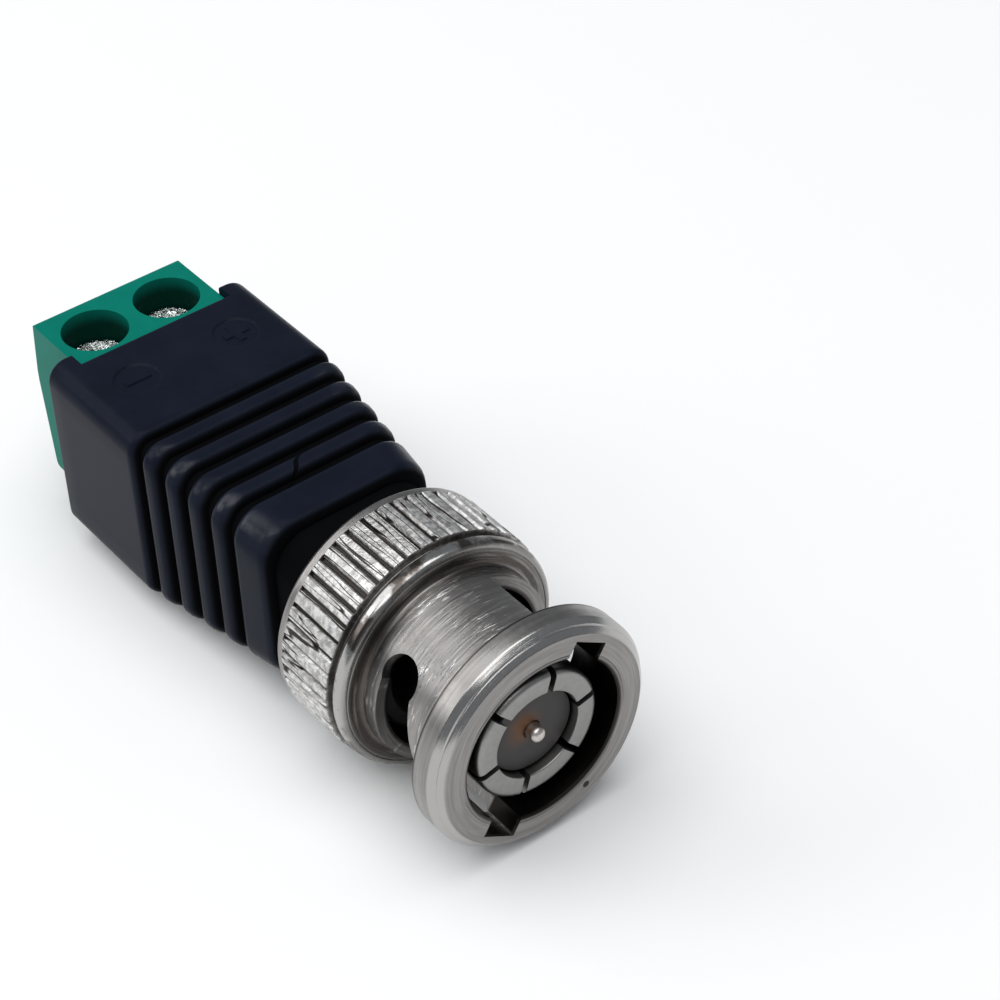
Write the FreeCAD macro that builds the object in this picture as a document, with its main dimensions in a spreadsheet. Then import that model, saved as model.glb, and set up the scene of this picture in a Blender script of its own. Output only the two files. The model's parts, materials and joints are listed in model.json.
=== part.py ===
import FreeCAD, Part
import math
import os
import re
import Sketcher

# Bayonet plug with a two-way screw terminal, for joining a coaxial video lead to a pair of plain wires.
# The plug's axis runs along X with its mouth at the +X end, and Z is up. Lengths are in millimetres.
# Each piece is drawn in the plug's frame: the mouth's plane is x = 0, the axis is y = z = 0, and a depth
# is measured back from the mouth, so a face at depth d lies at x = -d.

SIZES = {
    # Coupling nut: front ring, neck, bead, knurl and rear rim
    "nut_length": 14.5,
    "mouth_radius": 5.1,
    "mouth_bevel": 0.15,
    "ring_face_radius": 6.6,
    "ring_step_radius": 6.95,
    "ring_step_depth": 0.3,
    "ring_bevel_depth": 0.75,
    "ring_radius": 7.25,
    "ring_length": 2.0,
    "ring_flare": 1.1,
    "neck_radius": 5.85,
    "shoulder_depth": 8.4,
    "shoulder_root": 0.25,
    "bead_drop": 0.15,
    "bead_length": 1.0,
    "bead_rounding": 0.35,
    "bead_groove_width": 0.2,
    "bead_groove_cut": 0.3,
    "knurl_length": 4.15,
    "knurl_radius": 7.38,
    "knurl_count": 46,
    "knurl_groove_width": 0.3,
    "knurl_groove_cut": 0.22,
    "rim_drop": 0.06,
    "rim_bevel": 0.3,
    "rim_lip": 0.35,
    "recess_wall": 0.46,
    "web_length": 1.0,
    # Bayonet tracks: two entries half a turn apart, each with a ramp, a window and a detent hole
    "entry_angle": 57.5,
    "entry_width": 2.3,
    "track_radius": 6.1,
    "window_rear_depth": 7.13,
    "window_front_depth": 4.9,
    "ramp_width": 2.2,
    "ramp_front_depth": 2.4,
    "ramp_lead": 2.5,
    "detent_radius": 1.35,
    "detent_depth": 5.95,
    # Plug body, spring collar, insulator and centre pin
    "collar_front": 0.5,
    "collar_radius": 4.05,
    "collar_bore_radius": 2.73,
    "collar_rounding": 0.45,
    "slot_width": 0.42,
    "slot_end_depth": 7.0,
    "finger_length": 6.3,
    "slot_angle": 12.6,
    "gasket_front": 8.4,
    "gasket_length": 1.0,
    "gasket_seat_radius": 3.85,
    "gasket_radius": 4.75,
    "gasket_bevel": 0.2,
    "spigot_radius": 3.35,
    "spigot_length": 2.4,
    "flange_radius": 4.95,
    "flange_length": 1.0,
    "barrel_radius": 3.85,
    "barrel_end_depth": 17.0,
    "clip_groove_radius": 3.45,
    "insulator_front": 1.1,
    "insulator_radius": 2.65,
    "insulator_lip": 0.5,
    "pin_tip_depth": 0.28,
    "pin_nose_radius": 0.5,
    "pin_radius": 0.675,
    "cup_length": 2.4,
    "cup_radius": 0.95,
    "cup_bore_radius": 0.6,
    "cup_bore_depth": 1.6,
    # Spring washer, thrust washer and retaining ring behind the flange
    "wave_height": 0.9,
    "wave_thickness": 0.25,
    "wave_count": 3,
    "wave_inner_radius": 4.05,
    "wave_outer_radius": 4.85,
    "thrust_length": 0.3,
    "thrust_radius": 4.95,
    "clip_length": 0.6,
    "clip_radius": 5.1,
    "clip_opening": 2.2,
    # Boot: rear block, ribbed taper and front collar
    "boot_block_front": 28.9,
    "boot_half_width": 7.0,
    "boot_half_height": 6.12,
    "boot_corner": 1.0,
    "taper_end_depth": 17.8,
    "taper_half_width": 5.72,
    "taper_half_height": 5.58,
    "taper_corner": 1.8,
    "nose_inset": 2.38,
    "nose_flatness": 0.1,
    "nose_corner": 2.4,
    "groove_first_depth": 28.35,
    "groove_pitch": 1.95,
    "groove_width": 0.75,
    "groove_cut": 0.5,
    "top_cut_back": 1.1,
    "mark_inset": 4.6,
    "mark_side": 3.45,
    "mark_radius": 1.43,
    "mark_cut": 0.15,
    "mark_half_length": 0.85,
    "mark_half_width": 0.22,
    "lead_room_half_width": 4.25,
    "lead_room_half_height": 2.9,
    # Terminal block
    "block_length": 7.8,
    "block_half_width": 5.1,
    "block_top": 5.6,
    "block_bottom": 5.2,
    "block_face_depth": 42.4,
    "block_stand": 4.4,
    "block_bulge": 0.35,
    "block_lip": 0.2,
    "block_lean": 0.2,
    "block_rounding": 0.35,
    "pole_pitch": 5.08,
    "pole_inset": 2.7,
    "head_top_drop": 2.7,
    "chamber_half_width": 2.15,
    "chamber_top": 0.95,
    "chamber_bottom": 4.5,
    "chamber_wall": 1.9,
    # Terminal screws, cages and contact strips
    "head_radius": 1.9,
    "head_height": 1.3,
    "shank_radius": 1.0,
    "shank_end": 1.9,
    "drive_width": 0.5,
    "drive_cut": 0.6,
    "drive_cross_length": 2.0,
    "cage_half_width": 1.4,
    "cage_half_length": 1.95,
    "cage_top": 0.85,
    "cage_block": 1.9,
    "cage_window": 1.7,
    "cage_wall": 0.35,
    "cage_rounding": 0.9,
    "strip_thickness": 0.45,
    "strip_half_width": 0.95,
    "strip_reach": 1.85,
    "strip_gap": 0.05,
    "tail_root": 0.55,
    "tail_length": 2.2,
    # Leads and solder
    "lead_radius": 0.75,
    "lead_straight": 1.0,
    "solder_length": 1.3,
    "solder_radius": 0.8,
    # Clearances
    "running_gap": 0.06,
    "seat_gap": 0.02,
    "head_gap": 0.15,
    "ring_play": 0.1,
    "boot_play": 0.3,
}

# Places along the plug that follow from the sizes, as depths
FLANGE_FRONT = "(gasket_front + gasket_length)"
FLANGE_REAR = f"({FLANGE_FRONT} + flange_length)"
SPIGOT_REAR = f"({FLANGE_FRONT} + spigot_length)"
THRUST_FRONT = f"({FLANGE_REAR} + wave_height)"
WEB_FRONT = f"({THRUST_FRONT} + thrust_length)"
WEB_REAR = f"({WEB_FRONT} + web_length)"
CLIP_FRONT = f"({WEB_REAR} + ring_play)"
CLIP_REAR = f"({CLIP_FRONT} + clip_length)"
BOOT_FRONT = f"({CLIP_REAR} + boot_play)"
KNURL_FRONT = "(shoulder_depth + bead_length + bead_groove_width)"
KNURL_REAR = f"({KNURL_FRONT} + knurl_length)"
LIP_REAR = "(insulator_front + insulator_lip)"
RECESS_RADIUS = "(knurl_radius - knurl_groove_cut - recess_wall)"
BEAD_RADIUS = "(knurl_radius - bead_drop)"
NOSE_HALF_WIDTH = "(knurl_radius - nose_inset)"
CUP_REAR = "(barrel_end_depth + cup_length)"
BLOCK_FRONT = "(block_face_depth - block_length)"
BLOCK_REAR = "(block_face_depth + block_bulge + block_lip)"
BOOT_REAR = "(block_face_depth - block_stand)"
MARK_DEPTH = f"({BOOT_REAR} - mark_inset)"
CHAMBER_FRONT = f"({BLOCK_FRONT} + chamber_wall)"
TAIL_BEND = f"({BLOCK_FRONT} - tail_root)"
TAIL_END = f"({BLOCK_FRONT} - tail_length)"

# Heights and widths in the terminal block
POLE_SIDE = "(pole_pitch / 2)"
POLE_DEPTH = "(block_face_depth - pole_inset)"
HEAD_TOP = "(block_top - head_top_drop)"
LEDGE_TOP = f"({HEAD_TOP} - head_height)"
WINDOW_TOP = "(cage_top - cage_block)"
WINDOW_BOTTOM = f"({WINDOW_TOP} - cage_window)"
CAGE_BOTTOM = f"({WINDOW_BOTTOM} - cage_wall)"
STRIP_BOTTOM = f"({WINDOW_BOTTOM} + strip_gap)"
STRIP_TOP = f"({STRIP_BOTTOM} + strip_thickness)"
TAIL_HALF = "(strip_thickness / 2)"
SHELL_SIDE = "((barrel_radius + insulator_radius) / 2)"

document = FreeCAD.newDocument("ScrewTerminalPlug")
sheet = document.addObject("Spreadsheet::Sheet", "sizes")
for row, (alias, number) in enumerate(SIZES.items(), start=1):
    sheet.set(f"A{row}", alias)
    sheet.set(f"B{row}", str(number))
    sheet.setAlias(f"B{row}", alias)
document.recompute()


def bind(expression):
    """The expression with each size's name written as a cell of the sheet."""
    return re.sub(r"[a-z_]+", lambda m: f"sizes.{m[0]}" if m[0] in SIZES else m[0], expression)


def value(expression):
    """The expression's number at the sizes as they stand."""
    return float(sheet.evalExpression(bind(expression)))


# The origin is under the middle of the whole length, at the height of the nut's lowest rib
FRAME_X = f"({BLOCK_REAR} / 2)"
FRAME_Z = "knurl_radius"


def place(piece, y="0"):
    """Put a piece drawn in the plug's frame where it belongs, moved sideways by y."""
    for axis, expression in (("x", FRAME_X), ("y", y), ("z", FRAME_Z)):
        piece.setExpression(f"Placement.Base.{axis}", bind(expression))


def new_body(label, y="0"):
    body = document.addObject("PartDesign::Body", label)
    body.Label = label
    place(body, y)
    return body


def new_sketch(body, role, shift="0", axis=(0, 0, 1), turn="0"):
    """A sketch on one of the body's own origin planes, moved along its normal and turned about axis."""
    sketch = body.newObject("Sketcher::SketchObject", f"{body.Name}_outline")
    plane = next(f for f in body.Origin.OriginFeatures if f.Role == role)
    sketch.AttachmentSupport = [(plane, "")]
    sketch.MapMode = "FlatFace"
    turned = FreeCAD.Rotation(FreeCAD.Vector(*axis), value(turn))
    sketch.AttachmentOffset = FreeCAD.Placement(FreeCAD.Vector(0, 0, 0), turned)
    sketch.setExpression("AttachmentOffset.Base.z", bind(shift))
    if turn != "0":
        sketch.setExpression("AttachmentOffset.Rotation.Angle", bind(turn))
    return sketch


def hold(sketch, kind, expression, *where):
    """Add one dimension to the sketch and bind it to the sheet."""
    index = sketch.addConstraint(Sketcher.Constraint(kind, *where, value(expression)))
    sketch.setExpression(f"Constraints[{index}]", bind(expression))


def draw_outline(sketch, points):
    """Closed outline of straight edges, with each corner held at its own distances from the axes."""
    corners = [FreeCAD.Vector(value(a), value(b), 0) for a, b in points]
    first = sketch.GeometryCount
    for start, end in zip(corners, corners[1:] + corners[:1]):
        sketch.addGeometry(Part.LineSegment(start, end), False)
    for i, (across, up) in enumerate(points):
        before = first + (i - 1) % len(points)
        sketch.addConstraint(Sketcher.Constraint("Coincident", before, 2, first + i, 1))
        hold(sketch, "DistanceX", across, -1, 1, first + i, 1)
        hold(sketch, "DistanceY", up, -1, 1, first + i, 1)


def draw_circle(sketch, across, up, radius):
    centre = FreeCAD.Vector(value(across), value(up), 0)
    circle = sketch.addGeometry(Part.Circle(centre, FreeCAD.Vector(0, 0, 1), value(radius)), False)
    hold(sketch, "DistanceX", across, -1, 1, circle, 3)
    hold(sketch, "DistanceY", up, -1, 1, circle, 3)
    hold(sketch, "Radius", radius, circle)


def draw_cross(sketch, across, up, arm_across, arm_up, half_width):
    """Upright cross about a centre, or a plain bar where the arm across is only as long as a bar is wide."""
    if arm_across == half_width:
        corners = [(-1, -1), (1, -1), (1, 1), (-1, 1)]
        points = [(f"{across} + {i} * {arm_across}", f"{up} + {j} * {arm_up}") for i, j in corners]
    else:
        points = []
        for i, j in ((1, 1), (-1, 1), (-1, -1), (1, -1)):
            tips = [(arm_across, half_width), (half_width, half_width), (half_width, arm_up)]
            quarter = tips if i == j else tips[::-1]
            points += [(f"{across} + {i} * {a}", f"{up} + {j} * {b}") for a, b in quarter]
    draw_outline(sketch, points)


def draw_rounded_box(sketch, half_width, half_height, corner):
    """Rectangle about the sketch's origin with four equal round corners."""
    w, h, r = value(half_width), value(half_height), value(corner)
    centres = [(w - r, h - r), (r - w, h - r), (r - w, r - h), (w - r, r - h)]
    arcs = []
    for turn, (a, b) in enumerate(centres):
        circle = Part.Circle(FreeCAD.Vector(a, b, 0), FreeCAD.Vector(0, 0, 1), r)
        start = turn * math.pi / 2
        arcs.append(sketch.addGeometry(Part.ArcOfCircle(circle, start, start + math.pi / 2), False))
    sides = []
    for turn, arc in enumerate(arcs):
        start = sketch.getPoint(arc, 2)
        end = sketch.getPoint(arcs[(turn + 1) % 4], 1)
        sides.append(sketch.addGeometry(Part.LineSegment(start, end), False))
    for turn, side in enumerate(sides):
        sketch.addConstraint(Sketcher.Constraint("Tangent", arcs[turn], 2, side, 1))
        sketch.addConstraint(Sketcher.Constraint("Tangent", side, 2, arcs[(turn + 1) % 4], 1))
        sketch.addConstraint(Sketcher.Constraint("Vertical" if turn % 2 else "Horizontal", side))
    for arc in arcs[1:]:
        sketch.addConstraint(Sketcher.Constraint("Equal", arcs[0], arc))
    hold(sketch, "Radius", corner, arcs[0])
    hold(sketch, "DistanceY", half_height, -1, 1, sides[0], 1)
    hold(sketch, "DistanceX", f"-({half_width})", -1, 1, sides[1], 1)
    hold(sketch, "DistanceY", f"-({half_height})", -1, 1, sides[2], 1)
    hold(sketch, "DistanceX", half_width, -1, 1, sides[3], 1)


def add_feature(body, kind, name, profile):
    feature = body.newObject(f"PartDesign::{kind}", name)
    feature.Profile = profile
    return feature


def rounding(across, up, radius, start, end, steps=4):
    """Points of an arc about a centre, in short straight steps between two angles in degrees."""
    angles = [start + (end - start) * step / steps for step in range(steps + 1)]
    return [(f"{across} + {radius} * cos({a})", f"{up} + {radius} * sin({a})") for a in angles]


def turn_about_axis(body, points, kind="Revolution"):
    """Revolve an outline of depths and radii about the plug's axis."""
    sketch = new_sketch(body, "XY_Plane")
    draw_outline(sketch, points)
    feature = add_feature(body, kind, f"{body.Name}_turned", sketch)
    feature.ReferenceAxis = (sketch, ["H_Axis"])
    feature.Angle = 360
    document.recompute()
    return feature


def extrude(body, sketch, length, kind="Pad", reverse=False, both_ways=False):
    feature = add_feature(body, kind, f"{body.Name}_{kind.lower()}", sketch)
    feature.setExpression("Length", bind(length))
    feature.Reversed = reverse
    feature.Midplane = both_ways
    document.recompute()
    return feature


def repeat_about_axis(body, features, sketch, count, angle=360):
    """Copies of the features, evenly spaced round the sketch's normal through its origin."""
    pattern = body.newObject("PartDesign::PolarPattern", f"{body.Name}_copies")
    pattern.Originals = features
    pattern.Axis = (sketch, ["N_Axis"])
    pattern.Angle = angle
    pattern.setExpression("Occurrences", bind(count))
    body.Tip = pattern
    document.recompute()
    return pattern


def soften(body, radius, chosen, kind="Fillet"):
    """Fillet or chamfer the edges of the body that the test chosen picks out."""
    base = body.Tip
    edges = [f"Edge{i}" for i, edge in enumerate(base.Shape.Edges, start=1) if chosen(edge)]
    feature = body.newObject(f"PartDesign::{kind}", f"{body.Name}_{kind.lower()}")
    feature.Base = (base, edges)
    feature.setExpression("Radius" if kind == "Fillet" else "Size", bind(radius))
    body.Tip = feature
    document.recompute()
    return feature


def straight_edge(axis, **places):
    """Test for a straight edge along the axis whose middle lies at each stated place."""
    wanted = {name: value(expression) for name, expression in places.items()}

    def chosen(edge):
        if not isinstance(edge.Curve, Part.Line):
            return False
        along = abs(getattr(edge.Curve.Direction, axis)) > 0.999
        middle = edge.BoundBox.Center
        return along and all(abs(getattr(middle, name) - at) < 0.01 for name, at in wanted.items())

    return chosen


def make_coupling_nut():
    """Bayonet nut turned from one bar, then knurled and cut with its two tracks."""
    body = new_body("coupling_nut")
    turn_about_axis(body, [
        ("-mouth_bevel", "mouth_radius"),
        ("0", "mouth_radius + mouth_bevel"),
        ("0", "ring_face_radius"),
        ("-ring_step_depth", "ring_step_radius"),
        ("-ring_bevel_depth", "ring_radius"),
        ("-ring_length", "ring_radius"),
        *rounding("-ring_length - ring_flare", "neck_radius + ring_flare", "ring_flare", 0, -90),
        *rounding("shoulder_root - shoulder_depth", "neck_radius + shoulder_root",
                  "shoulder_root", -90, -180, steps=2),
        *rounding("-shoulder_depth - bead_rounding", f"{BEAD_RADIUS} - bead_rounding",
                  "bead_rounding", 0, 90),
        *rounding("bead_rounding - shoulder_depth - bead_length", f"{BEAD_RADIUS} - bead_rounding",
                  "bead_rounding", 90, 180),
        ("-shoulder_depth - bead_length", "knurl_radius - knurl_groove_cut - bead_groove_cut"),
        (f"-{KNURL_FRONT}", "knurl_radius - knurl_groove_cut - bead_groove_cut"),
        (f"-{KNURL_FRONT}", "knurl_radius"),
        (f"-{KNURL_REAR}", "knurl_radius"),
        (f"-{KNURL_REAR}", "knurl_radius - rim_drop"),
        ("rim_bevel - nut_length", "knurl_radius - rim_drop"),
        ("-nut_length", f"{RECESS_RADIUS} + rim_lip"),
        ("-nut_length", RECESS_RADIUS),
        (f"-{WEB_REAR}", RECESS_RADIUS),
        (f"-{WEB_REAR}", "barrel_radius + running_gap"),
        (f"-{WEB_FRONT}", "barrel_radius + running_gap"),
        (f"-{WEB_FRONT}", "mouth_radius"),
    ])

    # Knurl: straight grooves between flat-topped ribs, with a rib at the very bottom
    groove = new_sketch(body, "YZ_Plane", shift=f"-{KNURL_FRONT}", turn="180 / knurl_count")
    draw_outline(groove, [
        ("-knurl_groove_width", "-knurl_radius - knurl_groove_cut"),
        ("knurl_groove_width", "-knurl_radius - knurl_groove_cut"),
        ("knurl_groove_width / 4", "-knurl_radius + knurl_groove_cut"),
        ("-knurl_groove_width / 4", "-knurl_radius + knurl_groove_cut"),
    ])
    cut = extrude(body, groove, "knurl_length", kind="Pocket")
    repeat_about_axis(body, [cut], groove, "knurl_count")

    # Entries: one straight channel across the mouth cuts both
    entry = new_sketch(body, "YZ_Plane", turn="entry_angle")
    draw_outline(entry, [
        ("-track_radius", "-entry_width / 2"),
        ("track_radius", "-entry_width / 2"),
        ("track_radius", "entry_width / 2"),
        ("-track_radius", "entry_width / 2"),
    ])
    extrude(body, entry, "window_rear_depth", kind="Pocket")

    # Detents: one hole right across, a quarter turn on from the entries
    detent = new_sketch(body, "XY_Plane", axis=(1, 0, 0), turn="entry_angle")
    draw_circle(detent, "-detent_depth", "0", "detent_radius")
    extrude(body, detent, "2 * track_radius", kind="Pocket", both_ways=True)

    # Windows: a quarter turn with a square rear edge, and a ramp that sets the slanted front edge
    window = new_sketch(body, "XY_Plane", axis=(1, 0, 0), turn="entry_angle")
    draw_outline(window, [
        ("-window_front_depth", "collar_radius"),
        ("-window_front_depth", "track_radius"),
        ("-window_rear_depth", "track_radius"),
        ("-window_rear_depth", "collar_radius"),
    ])
    sector = add_feature(body, "Groove", "coupling_nut_window", window)
    sector.ReferenceAxis = (window, ["H_Axis"])
    sector.Angle = 90
    sector.Reversed = True
    document.recompute()
    ramp = new_sketch(body, "XY_Plane", axis=(1, 0, 0), turn="entry_angle")
    draw_outline(ramp, [
        ("-ramp_front_depth", "collar_radius"),
        ("-ramp_front_depth", "track_radius"),
        ("-ramp_front_depth - ramp_width", "track_radius"),
        ("-ramp_front_depth - ramp_width", "collar_radius"),
    ])
    spiral = add_feature(body, "SubtractiveHelix", "coupling_nut_ramp", ramp)
    spiral.ReferenceAxis = (ramp, ["H_Axis"])
    spiral.Mode = "pitch-turns-angle"
    spiral.setExpression("Pitch", bind("4 * ramp_lead"))
    spiral.Turns = 0.25
    spiral.Reversed = True
    document.recompute()
    repeat_about_axis(body, [sector, spiral], entry, "2")
    return body


def make_plug_body():
    """Turned shell: a flange that the collar stands on, and a barrel that the boot grips."""
    body = new_body("plug_body")
    turn_about_axis(body, [
        (f"-{FLANGE_FRONT}", "spigot_radius + seat_gap"),
        (f"-{FLANGE_FRONT}", "flange_radius"),
        (f"-{FLANGE_REAR}", "flange_radius"),
        (f"-{FLANGE_REAR}", "barrel_radius"),
        (f"-{CLIP_FRONT}", "barrel_radius"),
        (f"-{CLIP_FRONT}", "clip_groove_radius"),
        (f"-{CLIP_REAR}", "clip_groove_radius"),
        (f"-{CLIP_REAR}", "barrel_radius"),
        ("-barrel_end_depth", "barrel_radius"),
        ("-barrel_end_depth", "insulator_radius + seat_gap"),
        (f"-{SPIGOT_REAR}", "insulator_radius + seat_gap"),
        (f"-{SPIGOT_REAR}", "spigot_radius + seat_gap"),
    ])
    return body


def make_spring_collar():
    """Slotted contact collar with six fingers, seated on the flange by its spigot."""
    body = new_body("spring_collar")
    turn_about_axis(body, [
        ("-collar_front", "collar_bore_radius"),
        *rounding("-collar_front - collar_rounding", "collar_radius - collar_rounding",
                  "collar_rounding", 0, 90),
        ("-collar_front - finger_length", "collar_radius"),
        ("-collar_front - finger_length", "gasket_seat_radius"),
        (f"-{FLANGE_FRONT}", "gasket_seat_radius"),
        (f"-{FLANGE_FRONT}", "spigot_radius"),
        (f"-{SPIGOT_REAR}", "spigot_radius"),
        (f"-{SPIGOT_REAR}", "collar_bore_radius"),
    ])
    slot = new_sketch(body, "YZ_Plane", turn="slot_angle")
    draw_outline(slot, [
        ("-flange_radius", "-slot_width / 2"),
        ("flange_radius", "-slot_width / 2"),
        ("flange_radius", "slot_width / 2"),
        ("-flange_radius", "slot_width / 2"),
    ])
    cut = extrude(body, slot, "slot_end_depth", kind="Pocket")
    repeat_about_axis(body, [cut], slot, "3", angle=180)
    return body


def make_insulator():
    """Long bead of insulation with a lip that keeps the pin in."""
    body = new_body("insulator")
    turn_about_axis(body, [
        ("-insulator_front", "pin_nose_radius + seat_gap"),
        ("-insulator_front", "insulator_radius"),
        ("-barrel_end_depth", "insulator_radius"),
        ("-barrel_end_depth", "pin_radius + seat_gap"),
        (f"-{LIP_REAR}", "pin_radius + seat_gap"),
        (f"-{LIP_REAR}", "pin_nose_radius + seat_gap"),
    ])
    return body


def make_centre_pin():
    """Contact pin with a round nose in front and a solder cup behind."""
    body = new_body("centre_pin")
    turn_about_axis(body, [
        *rounding("-pin_tip_depth - pin_nose_radius", "0", "pin_nose_radius", 0, 90),
        (f"-{LIP_REAR}", "pin_nose_radius"),
        (f"-{LIP_REAR}", "pin_radius"),
        ("-barrel_end_depth", "pin_radius"),
        ("-barrel_end_depth", "cup_radius"),
        (f"-{CUP_REAR}", "cup_radius"),
        (f"-{CUP_REAR}", "cup_bore_radius"),
        (f"cup_bore_depth - {CUP_REAR}", "cup_bore_radius"),
        (f"cup_bore_depth - {CUP_REAR}", "0"),
    ])
    return body


def make_gasket():
    """Soft ring on the collar's foot, which the mating socket presses on."""
    body = new_body("gasket")
    turn_about_axis(body, [
        ("-gasket_front", "gasket_seat_radius + seat_gap"),
        ("-gasket_front", "gasket_radius - gasket_bevel"),
        ("-gasket_front - gasket_bevel", "gasket_radius"),
        (f"-{FLANGE_FRONT}", "gasket_radius"),
        (f"-{FLANGE_FRONT}", "gasket_seat_radius + seat_gap"),
    ])
    return body


def make_thrust_washer():
    """Flat washer between the spring washer and the nut's web."""
    body = new_body("thrust_washer")
    turn_about_axis(body, [
        (f"-{THRUST_FRONT}", "barrel_radius + running_gap"),
        (f"-{THRUST_FRONT}", "thrust_radius"),
        (f"-{WEB_FRONT}", "thrust_radius"),
        (f"-{WEB_FRONT}", "barrel_radius + running_gap"),
    ])
    return body


def make_retaining_ring():
    """Open ring snapped into the barrel's groove, which keeps the nut on."""
    body = new_body("retaining_ring")
    turn_about_axis(body, [
        (f"-{CLIP_FRONT}", "clip_groove_radius + seat_gap"),
        (f"-{CLIP_FRONT}", "clip_radius"),
        (f"-{CLIP_REAR}", "clip_radius"),
        (f"-{CLIP_REAR}", "clip_groove_radius + seat_gap"),
    ])
    opening = new_sketch(body, "YZ_Plane", shift=f"-{WEB_REAR}")
    draw_outline(opening, [
        ("-clip_opening / 2", "-2 * clip_radius"),
        ("clip_opening / 2", "-2 * clip_radius"),
        ("clip_opening / 2", "0"),
        ("-clip_opening / 2", "0"),
    ])
    extrude(body, opening, "2 * clip_length", kind="Pocket")
    return body


def make_wave_washer():
    """Spring washer whose crests touch the flange and the thrust washer in turn."""
    middle = (value(FLANGE_REAR) + value(THRUST_FRONT)) / 2
    swing = (value("wave_height") - value("wave_thickness")) / 2
    waves = round(value("wave_count"))
    steps = 16 * waves

    def rim(radius, offset):
        points = []
        for step in range(steps):
            angle = 2 * math.pi * step / steps
            x = offset - middle + swing * math.cos(waves * angle)
            points.append(FreeCAD.Vector(x, radius * math.cos(angle), radius * math.sin(angle)))
        curve = Part.BSplineCurve()
        curve.interpolate(Points=points, PeriodicFlag=True)
        return curve.toShape()

    half = value("wave_thickness") / 2
    corners = [
        (value("wave_inner_radius"), half),
        (value("wave_outer_radius"), half),
        (value("wave_outer_radius"), -half),
        (value("wave_inner_radius"), -half),
    ]
    rims = [rim(radius, offset) for radius, offset in corners]
    faces = [Part.makeRuledSurface(a, b) for a, b in zip(rims, rims[1:] + rims[:1])]
    shell = Part.makeShell([face for ruled in faces for face in ruled.Faces])
    shell.sewShape()
    solid = Part.makeSolid(shell)
    if solid.Volume < 0:
        solid.reverse()
    washer = document.addObject("Part::Feature", "wave_washer")
    washer.Shape = solid
    place(washer)
    return washer


def at_taper(depth, wide, narrow):
    """A size that changes evenly along the boot's taper, from the block to the taper's end."""
    share = f"((boot_block_front - ({depth})) / (boot_block_front - taper_end_depth))"
    return f"({wide} + ({narrow} - {wide}) * {share})"


def make_boot():
    """Moulded boot: a block round the terminals, a ribbed taper and a collar that enters the nut."""
    body = new_body("boot")
    block = new_sketch(body, "YZ_Plane", shift=f"-{BOOT_REAR}")
    draw_rounded_box(block, "boot_half_width", "boot_half_height", "boot_corner")
    extrude(body, block, f"{BOOT_REAR} - boot_block_front")

    sections = [
        ("boot_block_front", "boot_half_width", "boot_half_height", "boot_corner"),
        ("taper_end_depth", "taper_half_width", "taper_half_height", "taper_corner"),
        (BOOT_FRONT, NOSE_HALF_WIDTH, f"({NOSE_HALF_WIDTH} - nose_flatness)", "nose_corner"),
    ]
    drawn = []
    for depth, half_width, half_height, corner in sections:
        section = new_sketch(body, "YZ_Plane", shift=f"-{depth}")
        draw_rounded_box(section, half_width, half_height, corner)
        drawn.append(section)
    taper = add_feature(body, "AdditiveLoft", "boot_taper", drawn[0])
    taper.Sections = drawn[1:]
    taper.Ruled = True
    document.recompute()

    for number in range(5):
        depth = f"(groove_first_depth - {number} * groove_pitch)"
        groove = new_sketch(body, "YZ_Plane", shift=f"groove_width / 2 - {depth}")
        draw_circle(groove, "0", "0", "2 * boot_half_width")
        draw_rounded_box(
            groove,
            at_taper(depth, "boot_half_width", "taper_half_width") + " - groove_cut",
            at_taper(depth, "boot_half_height", "taper_half_height") + " - groove_cut",
            at_taper(depth, "boot_corner", "taper_corner"),
        )
        extrude(body, groove, "groove_width", kind="Pocket")

    # Rear socket for the terminal block, with the top wall cut back behind the side walls
    socket = new_sketch(body, "YZ_Plane", shift=f"-{BLOCK_FRONT}")
    draw_outline(socket, [
        ("-block_half_width - seat_gap", "-block_bottom - seat_gap"),
        ("block_half_width + seat_gap", "-block_bottom - seat_gap"),
        ("block_half_width + seat_gap", "block_top + seat_gap"),
        ("-block_half_width - seat_gap", "block_top + seat_gap"),
    ])
    extrude(body, socket, f"{BOOT_REAR} - {BLOCK_FRONT}", kind="Pocket")
    step = new_sketch(body, "YZ_Plane", shift=f"top_cut_back - {BOOT_REAR}")
    draw_outline(step, [
        ("-block_half_width - seat_gap", "0"),
        ("block_half_width + seat_gap", "0"),
        ("block_half_width + seat_gap", "2 * boot_half_height"),
        ("-block_half_width - seat_gap", "2 * boot_half_height"),
    ])
    extrude(body, step, "top_cut_back", kind="Pocket")

    # Pole marks on top: round recesses with a plus or a minus left standing
    marks = new_sketch(body, "XY_Plane", shift="boot_half_height")
    for side, arm in (("mark_side", "mark_half_length"), ("-mark_side", "mark_half_width")):
        draw_circle(marks, f"-{MARK_DEPTH}", side, "mark_radius")
        draw_cross(marks, f"-{MARK_DEPTH}", side, arm, "mark_half_length", "mark_half_width")
    extrude(body, marks, "mark_cut", kind="Pocket")

    # Room for the leads, and the bore that grips the plug's barrel
    room = new_sketch(body, "YZ_Plane", shift="-barrel_end_depth")
    draw_rounded_box(room, "lead_room_half_width", "lead_room_half_height", "boot_corner")
    extrude(body, room, f"{BLOCK_FRONT} - barrel_end_depth", kind="Pocket")
    bore = new_sketch(body, "YZ_Plane", shift=f"-{BOOT_FRONT}")
    draw_circle(bore, "0", "0", "barrel_radius + seat_gap")
    extrude(body, bore, f"barrel_end_depth - {BOOT_FRONT}", kind="Pocket")
    return body


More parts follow.
